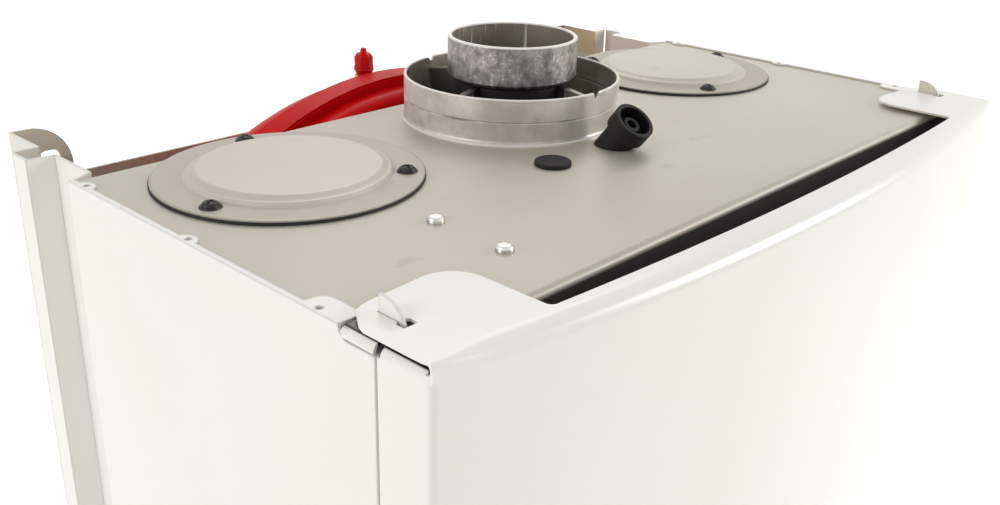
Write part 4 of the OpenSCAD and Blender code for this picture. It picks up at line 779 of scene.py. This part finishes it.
# %% Plan of the front cover
# Depth of the sides, rise of the bow, radius of the upright corners, and the rear seam
COVER_BOX = box_mm("front_cover")
HALF, COVER_LOW = COVER_BOX[1][0], COVER_BOX[0][2]
FRONT, BOW, CORNER = 285.0, 17.0, 3.0
SEAM_Y = -262.4
BOW_R = (HALF ** 2 + BOW ** 2) / (2 * BOW)
BOW_Y = BOW_R - FRONT - BOW
CORNER_X = HALF - CORNER
CORNER_Y = BOW_Y - math.sqrt((BOW_R - CORNER) ** 2 - CORNER_X ** 2)
print("bow radius:", round(BOW_R, 1), "mm, lower edge at", COVER_LOW, "mm")

# %% [markdown]
# The plan is a chain of straight stretches and arcs. An arc gives its points and, since its
# centre lies on the inner side, also their inward directions. A stretch of the plan then needs
# only a profile to become a shell.


# %% Profiles along a plan
def round_part(centre, radius, start, end, n):
    """n points on a circle from start to end degrees, and the directions to its centre."""
    a = np.radians(np.linspace(start, end, n))
    out = np.stack([np.cos(a), np.sin(a)], -1)
    return np.asarray(centre) + radius * out, -out


def ribbon(path, inward, profile):
    """Point (i, j) is path[i] + inward[i] * inset[i, j] at height[i, j]; both ends are capped.

    One profile serves the whole path, or there is one for each of its points.
    """
    path, inward, profile = (np.asarray(v, float) for v in (path, inward, profile))
    n, m = len(path), profile.shape[-2]
    profile = np.broadcast_to(profile, (n, m, 2))
    plan = path[:, None, :] + inward[:, None, :] * profile[..., :1]
    points, faces = joined_loops(np.concatenate([plan, profile[..., 1:]], -1))
    return points, faces + [list(range(m)), list(range((n - 1) * m, n * m))]


def block(near, far, low, high):
    """A rectangular profile between two insets and two heights."""
    return [(near, low), (near, high), (far, high), (far, low)]


def fold(radius, foot, flat):
    """A 1 mm sheet that turns inwards: outer quarter circle, flat part, and the same 1 mm inside."""
    turn = np.radians(np.linspace(180, 90, 13))
    outer = np.stack([radius + radius * np.cos(turn), foot + radius * np.sin(turn)], -1)
    inner = np.stack([radius + (radius - 1) * np.cos(turn), foot + (radius - 1) * np.sin(turn)], -1)[::-1]
    if flat > radius:
        outer = np.concatenate([outer, [[flat, foot + radius], [flat, foot + radius - 1]]])
    return np.concatenate([outer, inner])


print("profiles ready")

# %% Walls of the front cover
# Height where the walls end, then how far the lower lip and the rear returns reach inwards
WALL_TOP = TOP - 3.0
LIP, RETURN = 19.0, 9.0
lean = 90 - math.degrees(math.atan2(BOW_Y - CORNER_Y, CORNER_X))
left_corner = round_part((-CORNER_X, CORNER_Y), CORNER, 180, 270 - lean, 9)
bow_arc = round_part((0, BOW_Y), BOW_R, 270 - lean, 270 + lean, 81)
right_corner = round_part((CORNER_X, CORNER_Y), CORNER, 270 + lean, 360, 9)
seam = round_part((-HALF + 1.0, SEAM_Y - 1.0), 1.0, 90, 180, 5)
side_y = np.linspace(SEAM_Y - 1.0, CORNER_Y, 5)[1:-1]
left_path = np.concatenate([seam[0], np.stack([np.full(3, -HALF), side_y], -1)])
left_in = np.concatenate([seam[1], [[1, 0]] * 3])
mirror = (-1, 1)
wall_path = np.concatenate([left_path, left_corner[0], bow_arc[0][1:-1], right_corner[0],
                            left_path[::-1] * mirror])
wall_in = np.concatenate([left_in, left_corner[1], bow_arc[1][1:-1], right_corner[1], left_in[::-1] * mirror])
shells = [ribbon(wall_path, wall_in, block(0, 1, COVER_LOW, WALL_TOP)),
          ribbon(bow_arc[0][1:-1], bow_arc[1][1:-1], block(1, LIP, COVER_LOW, COVER_LOW + 1))]
for s in (-1, 1):
    rear = [(s * (HALF - 1), SEAM_Y), (s * (HALF - RETURN), SEAM_Y)]
    shells.append(ribbon(rear, [(0, -1)] * 2, block(0, 1, COVER_LOW, TOP - 5)))
print("wall shells:", len(shells), "points along the plan:", len(wall_path))

# %% [markdown]
# The front fold has its full 6 mm over most of the width and tightens towards its ends, where
# the side folds pass under the hook tabs. So each point of the bow gets a profile of its own.

# %% Folds of the front cover
# Fold radius over the width and at the ends, then the x where it has tightened, over which
# width it does so, and where the fold ends
FOLD_R, END_R = 6.0, 2.2
FOLD_END, FOLD_FADE, FOLD_TIP = 198.5, 22.0, 199.6
SIDE_FOLD_R = 3.2
FLANGE = TOP + 3.0
tip = math.degrees(math.asin(FOLD_TIP / BOW_R))
front_path, front_in = round_part((0, BOW_Y), BOW_R, 270 - tip, 270 + tip, 161)
radii = END_R + (FOLD_R - END_R) * smooth((FOLD_END - np.abs(front_path[:, 0])) / FOLD_FADE)
profiles = [np.concatenate([[(0, WALL_TOP)], fold(r, FLANGE - r, 0), [(1, WALL_TOP)]]) for r in radii]
shells.append(ribbon(front_path, front_in, np.stack(profiles)))
for s, corner in ((-1, left_corner), (1, right_corner)):
    side = [(s * HALF, y) for y in np.linspace(SEAM_Y - 2.0, CORNER_Y, 6)]
    shells.append(ribbon(side, [(-s, 0)] * 6, fold(SIDE_FOLD_R, WALL_TOP, 0)))
    shells.append(ribbon(*corner, block(0, 1, WALL_TOP, TOP - 0.6)))
print("shells with folds:", len(shells))

# %% [markdown]
# The flange is a flat plate whose rear edge runs back to the two hook tabs. Its outline comes
# as arcs, a parabola and a few corners, and a triangle fill cuts the two hook slots out of it.

# %% Flange and hook tabs
REAR_Y, REAR_BOW = -289.0, 4200.0
FILLET_X, FILLET_R = 147.5, 2.5
HOOK_SLOT = np.array([(187.5, -250.6), (187.5, -258.8), (185.4, -260.6), (185.4, -264.2),
                      (190.9, -264.2), (190.9, -260.8), (189.5, -259.6), (189.5, -250.6)])


def plate(outline, holes, low, high):
    """A flat sheet between two heights: the outline less its holes in triangles, and upright rims."""
    rings = [[Vector((x, y, 0)) for x, y in ring] for ring in [outline] + holes]
    flat = [tuple(v[:2]) for ring in rings for v in ring]
    count = len(flat)
    triangles = [list(t) for t in geometry.tessellate_polygon(rings)]
    faces = triangles + [[k + count for k in t[::-1]] for t in triangles]
    base = 0
    for n in map(len, rings):
        for k in range(n):
            here, ahead = base + k, base + (k + 1) % n
            faces.append([here, ahead, ahead + count, here + count])
        base += n
    points = [(x, y, low) for x, y in flat] + [(x, y, high) for x, y in flat]
    return np.array(points), faces


def rear_edge(x):
    """The flange's rear edge: a parabola that is nearest to the front in the middle."""
    return REAR_Y + x ** 2 / REAR_BOW


def tab_outline():
    """Right half of the flange's rear edge, from the fold's end round the hook tab to the middle."""
    tab = [(199.6, -281.0), (199.7, -276.0), (199.7, -257.0), (198.6, -253.6), (193.4, -245.8),
           (190.0, -244.4), (186.0, -243.6)]
    corner, _ = round_part((163.0, -255.0), 13.0, 86, 180, 12)
    fillet, _ = round_part((FILLET_X, rear_edge(FILLET_X) + FILLET_R), FILLET_R, 0, -90, 5)
    x = np.linspace(144, 0, 25)
    return np.concatenate([tab, corner, fillet, np.stack([x, rear_edge(x)], -1)])


right_half = tab_outline()
outline = np.concatenate([front_path + front_in * radii[:, None], right_half,
                          (right_half[::-1] * mirror)[1:]])
hook_slots = [HOOK_SLOT.tolist(), (HOOK_SLOT * mirror).tolist()]
shells.append(plate(outline.tolist(), hook_slots, FLANGE - 1, FLANGE))
cover_coat = paint("cover_coat", (245, 243, 235), 0.22, 0.0, gloss_recipe)
stand("front_cover_pressed", closed_mesh("front_cover_pressed", shells, 40),
      body_of(frame["nodes"]["front_cover"])[0], slot_of["front_cover"], "front_cover", look=cover_coat)

# %% [markdown]
# ## Panel corners
# Between a side panel's top and the cover, a small turned pad closes the corner. It could be a
# fold of the panel's own mesh, but that stays as it is, so each pad is a short ribbon with the
# cover's fold profile and the cover's coat.

# %% Panel corners
PAD_REAR, PAD_FRONT = -246.5, -261.4
PAD_R, PAD_FLAT = 3.3, 12.0
pads = []
for s in (-1, 1):
    pad = [(s * HALF, y) for y in np.linspace(PAD_REAR, PAD_FRONT, 4)]
    pads.append(ribbon(pad, [(-s, 0)] * 4, fold(PAD_R, TOP - 2.8, PAD_FLAT)))
pads_mesh = closed_mesh("panel_corner_pads", pads, 40)
stand("panel_corner_pads", pads_mesh, "boiler", "white_paint", look=cover_coat)

# %% [markdown]
# ## Dark cover screws
# Pan heads with a thin washer and a pressed cross. The cross is a height taken away where the
# point lies near one of two crossing lines, so it stays one closed surface.

# %% Dark cover screws
SCREW_RING_R = 46.7
SCREW_ANGLES = {"air_cover_left": (-163, -43, 78), "air_cover_right": (-121, 0, 117)}
SCREW_RINGS = np.concatenate([np.linspace(0, 3.4, 18), [3.5, 3.6, 4.0, 4.25, 4.3]])
SCREW_FOOT = RIM_Z + SHEET
HEAD_R, HEAD_H = 3.5, 1.7
WASHER_R, WASHER_H = 4.2, 0.7
CROSS_R, CROSS_HALF, CROSS_DEPTH = 1.9, 0.35, 1.1


def screw_shell(place, turn):
    """Upper skin: washer, plus a head as high as the root of 1 - (r / R)^3, less the cross."""
    def height(r, a):
        head = HEAD_H * np.sqrt(np.clip(1 - (r / HEAD_R) ** 3, 0, 1))
        washer = WASHER_H * (1 - smooth((r - WASHER_R) / 0.1))
        across = np.minimum(np.abs(r * np.cos(a - turn)), np.abs(r * np.sin(a - turn)))
        cross = CROSS_DEPTH * (1 - smooth((across - CROSS_HALF) / 0.3)) * (1 - smooth((r - CROSS_R) / 0.5))
        return SCREW_FOOT + washer + np.where(r <= HEAD_R, head - cross, 0.0)

    return turned_shell(place, SCREW_RINGS, height, lambda r: np.full_like(r, SCREW_FOOT), 48)


screws = []
for node, angles in SCREW_ANGLES.items():
    x, y = AIR_COVERS[node]
    for a in np.radians(angles):
        place = (x + SCREW_RING_R * math.cos(a), y + SCREW_RING_R * math.sin(a))
        screws.append(screw_shell(place, 0.5 + 0.7 * len(screws)))
screw_mesh = closed_mesh("cover_screw_heads", screws, 50, weld=True)
stand("cover_screw_heads", screw_mesh, "boiler", slot_of["air_cover_screws"], "air_cover_screws")
print("cover screws:", len(screws))

# %% [markdown]
# ## Stage, lights and camera
# The floor is plain and pale, and so is the world. Both look white to the camera and in
# mirror-like reflections through Light Path, so that the background needs no extra light on
# the object and the floor keeps the shadow. Three soft lamps give a plain level: the strongest
# stands to the left of the case, a smaller one fills in from the front right, and a faintly
# warm one lights the steel top from behind.

# %% Stage
FLOOR_HALF, FLOOR_Z = 30.0, -0.78
FLOOR_GLOW = 0.55
WORLD_LEVEL = 0.5


def seen(tree):
    """1 for rays from the camera, and for reflected and transmitted ones, otherwise 0."""
    path = tree.nodes.new("ShaderNodeLightPath")
    out = [Sock(tree, path.outputs[k]) for k in ("Is Camera Ray", "Is Glossy Ray", "Is Transmission Ray")]
    return (out[0] + out[1] + out[2]).step(0.0, 1.0)


def backdrop():
    """A pale floor under the pipe ends, with a little white glow for the rays that see it."""
    mesh = bpy.data.meshes.new("floor")
    corners = [(x * FLOOR_HALF, y * FLOOR_HALF, FLOOR_Z) for x, y in ((-1, -1), (1, -1), (1, 1), (-1, 1))]
    mesh.from_pydata(corners, [], [(0, 1, 2, 3)])
    floor = bpy.data.objects.new("floor", mesh)
    bpy.context.scene.collection.objects.link(floor)
    material = paint("floor_paint", (240, 239, 236), 0.8)
    tree = material.node_tree
    shader = tree.nodes["Principled BSDF"]
    glow = seen(tree).mix((0, 0, 0), (255, 255, 255))
    tree.links.new(glow.out, shader.inputs["Emission Color"])
    shader.inputs["Emission Strength"].default_value = FLOOR_GLOW
    mesh.materials.append(material)


backdrop()
world = bpy.data.worlds.new("studio")
bpy.context.scene.world = world
world.use_nodes = True
tree = world.node_tree
ground = tree.nodes["Background"]
ground.inputs["Color"].default_value = (1, 1, 1, 1)
tree.links.new((seen(tree) * (1 - WORLD_LEVEL) + WORLD_LEVEL).out, ground.inputs["Strength"])
print("floor at", FLOOR_Z, "m, world level", WORLD_LEVEL)

# %% Lamps
LAMP_TARGET = (0, -0.15, -0.1)


def softbox(name, place, size, power, colour=(1, 1, 1)):
    """A square area lamp that looks at the middle of the case."""
    lamp = bpy.data.lights.new(name, "AREA")
    lamp.shape, lamp.size, lamp.energy, lamp.color = "SQUARE", size, power, colour
    holder = bpy.data.objects.new(name, lamp)
    holder.location = place
    holder.rotation_mode = "QUATERNION"
    holder.rotation_quaternion = (Vector(LAMP_TARGET) - Vector(place)).to_track_quat("-Z", "Y")
    bpy.context.scene.collection.objects.link(holder)


softbox("key_left", (-3.2, 0.5, 1.1), 2.4, 46)
softbox("fill_right", (1.5, -1.6, 0.5), 1.0, 21.5)
softbox("back_top", (1.8, 1.9, 2.8), 2.4, 33, (1.0, 0.985, 0.95))
print("lamps:", len(bpy.data.lights))

# %% [markdown]
# The camera stands where the photographer's did: the position, the turn and the lens come
# from a fit to the photograph. The photograph is a crop of a larger picture, so its optical
# axis lies a little off the crop's middle, and a small lens shift states that. A larger shift
# fits the last few pixels, but it would push the object out of every other view.

# %% Camera
PHOTO_WIDTH_PX, FOCAL_PX = 1000, 1045.41
SENSOR = 36.0
CAMERA_AT = (-364.1, -461.7, 155.7)
RIGHT = Vector((0.682365, -0.730522, 0.026745))
DOWN = Vector((-0.255096, -0.272246, -0.927797))
AHEAD = Vector((0.685058, 0.626274, -0.372124))
camera_data = bpy.data.cameras.new("camera")
camera = bpy.data.objects.new("camera", camera_data)
bpy.context.scene.collection.objects.link(camera)
bpy.context.scene.camera = camera
turn = Matrix((RIGHT, -DOWN, -AHEAD)).transposed().to_4x4()
camera.matrix_world = Matrix.Translation(Vector(CAMERA_AT) * MM) @ turn
camera_data.sensor_width = SENSOR
camera_data.lens = FOCAL_PX / PHOTO_WIDTH_PX * SENSOR
camera_data.shift_x, camera_data.shift_y = -0.01, -0.03
camera_data.clip_start, camera_data.clip_end = 0.01, 80
bpy.context.scene.view_settings.view_transform = "Standard"
print("camera lens:", round(camera_data.lens, 2), "mm")
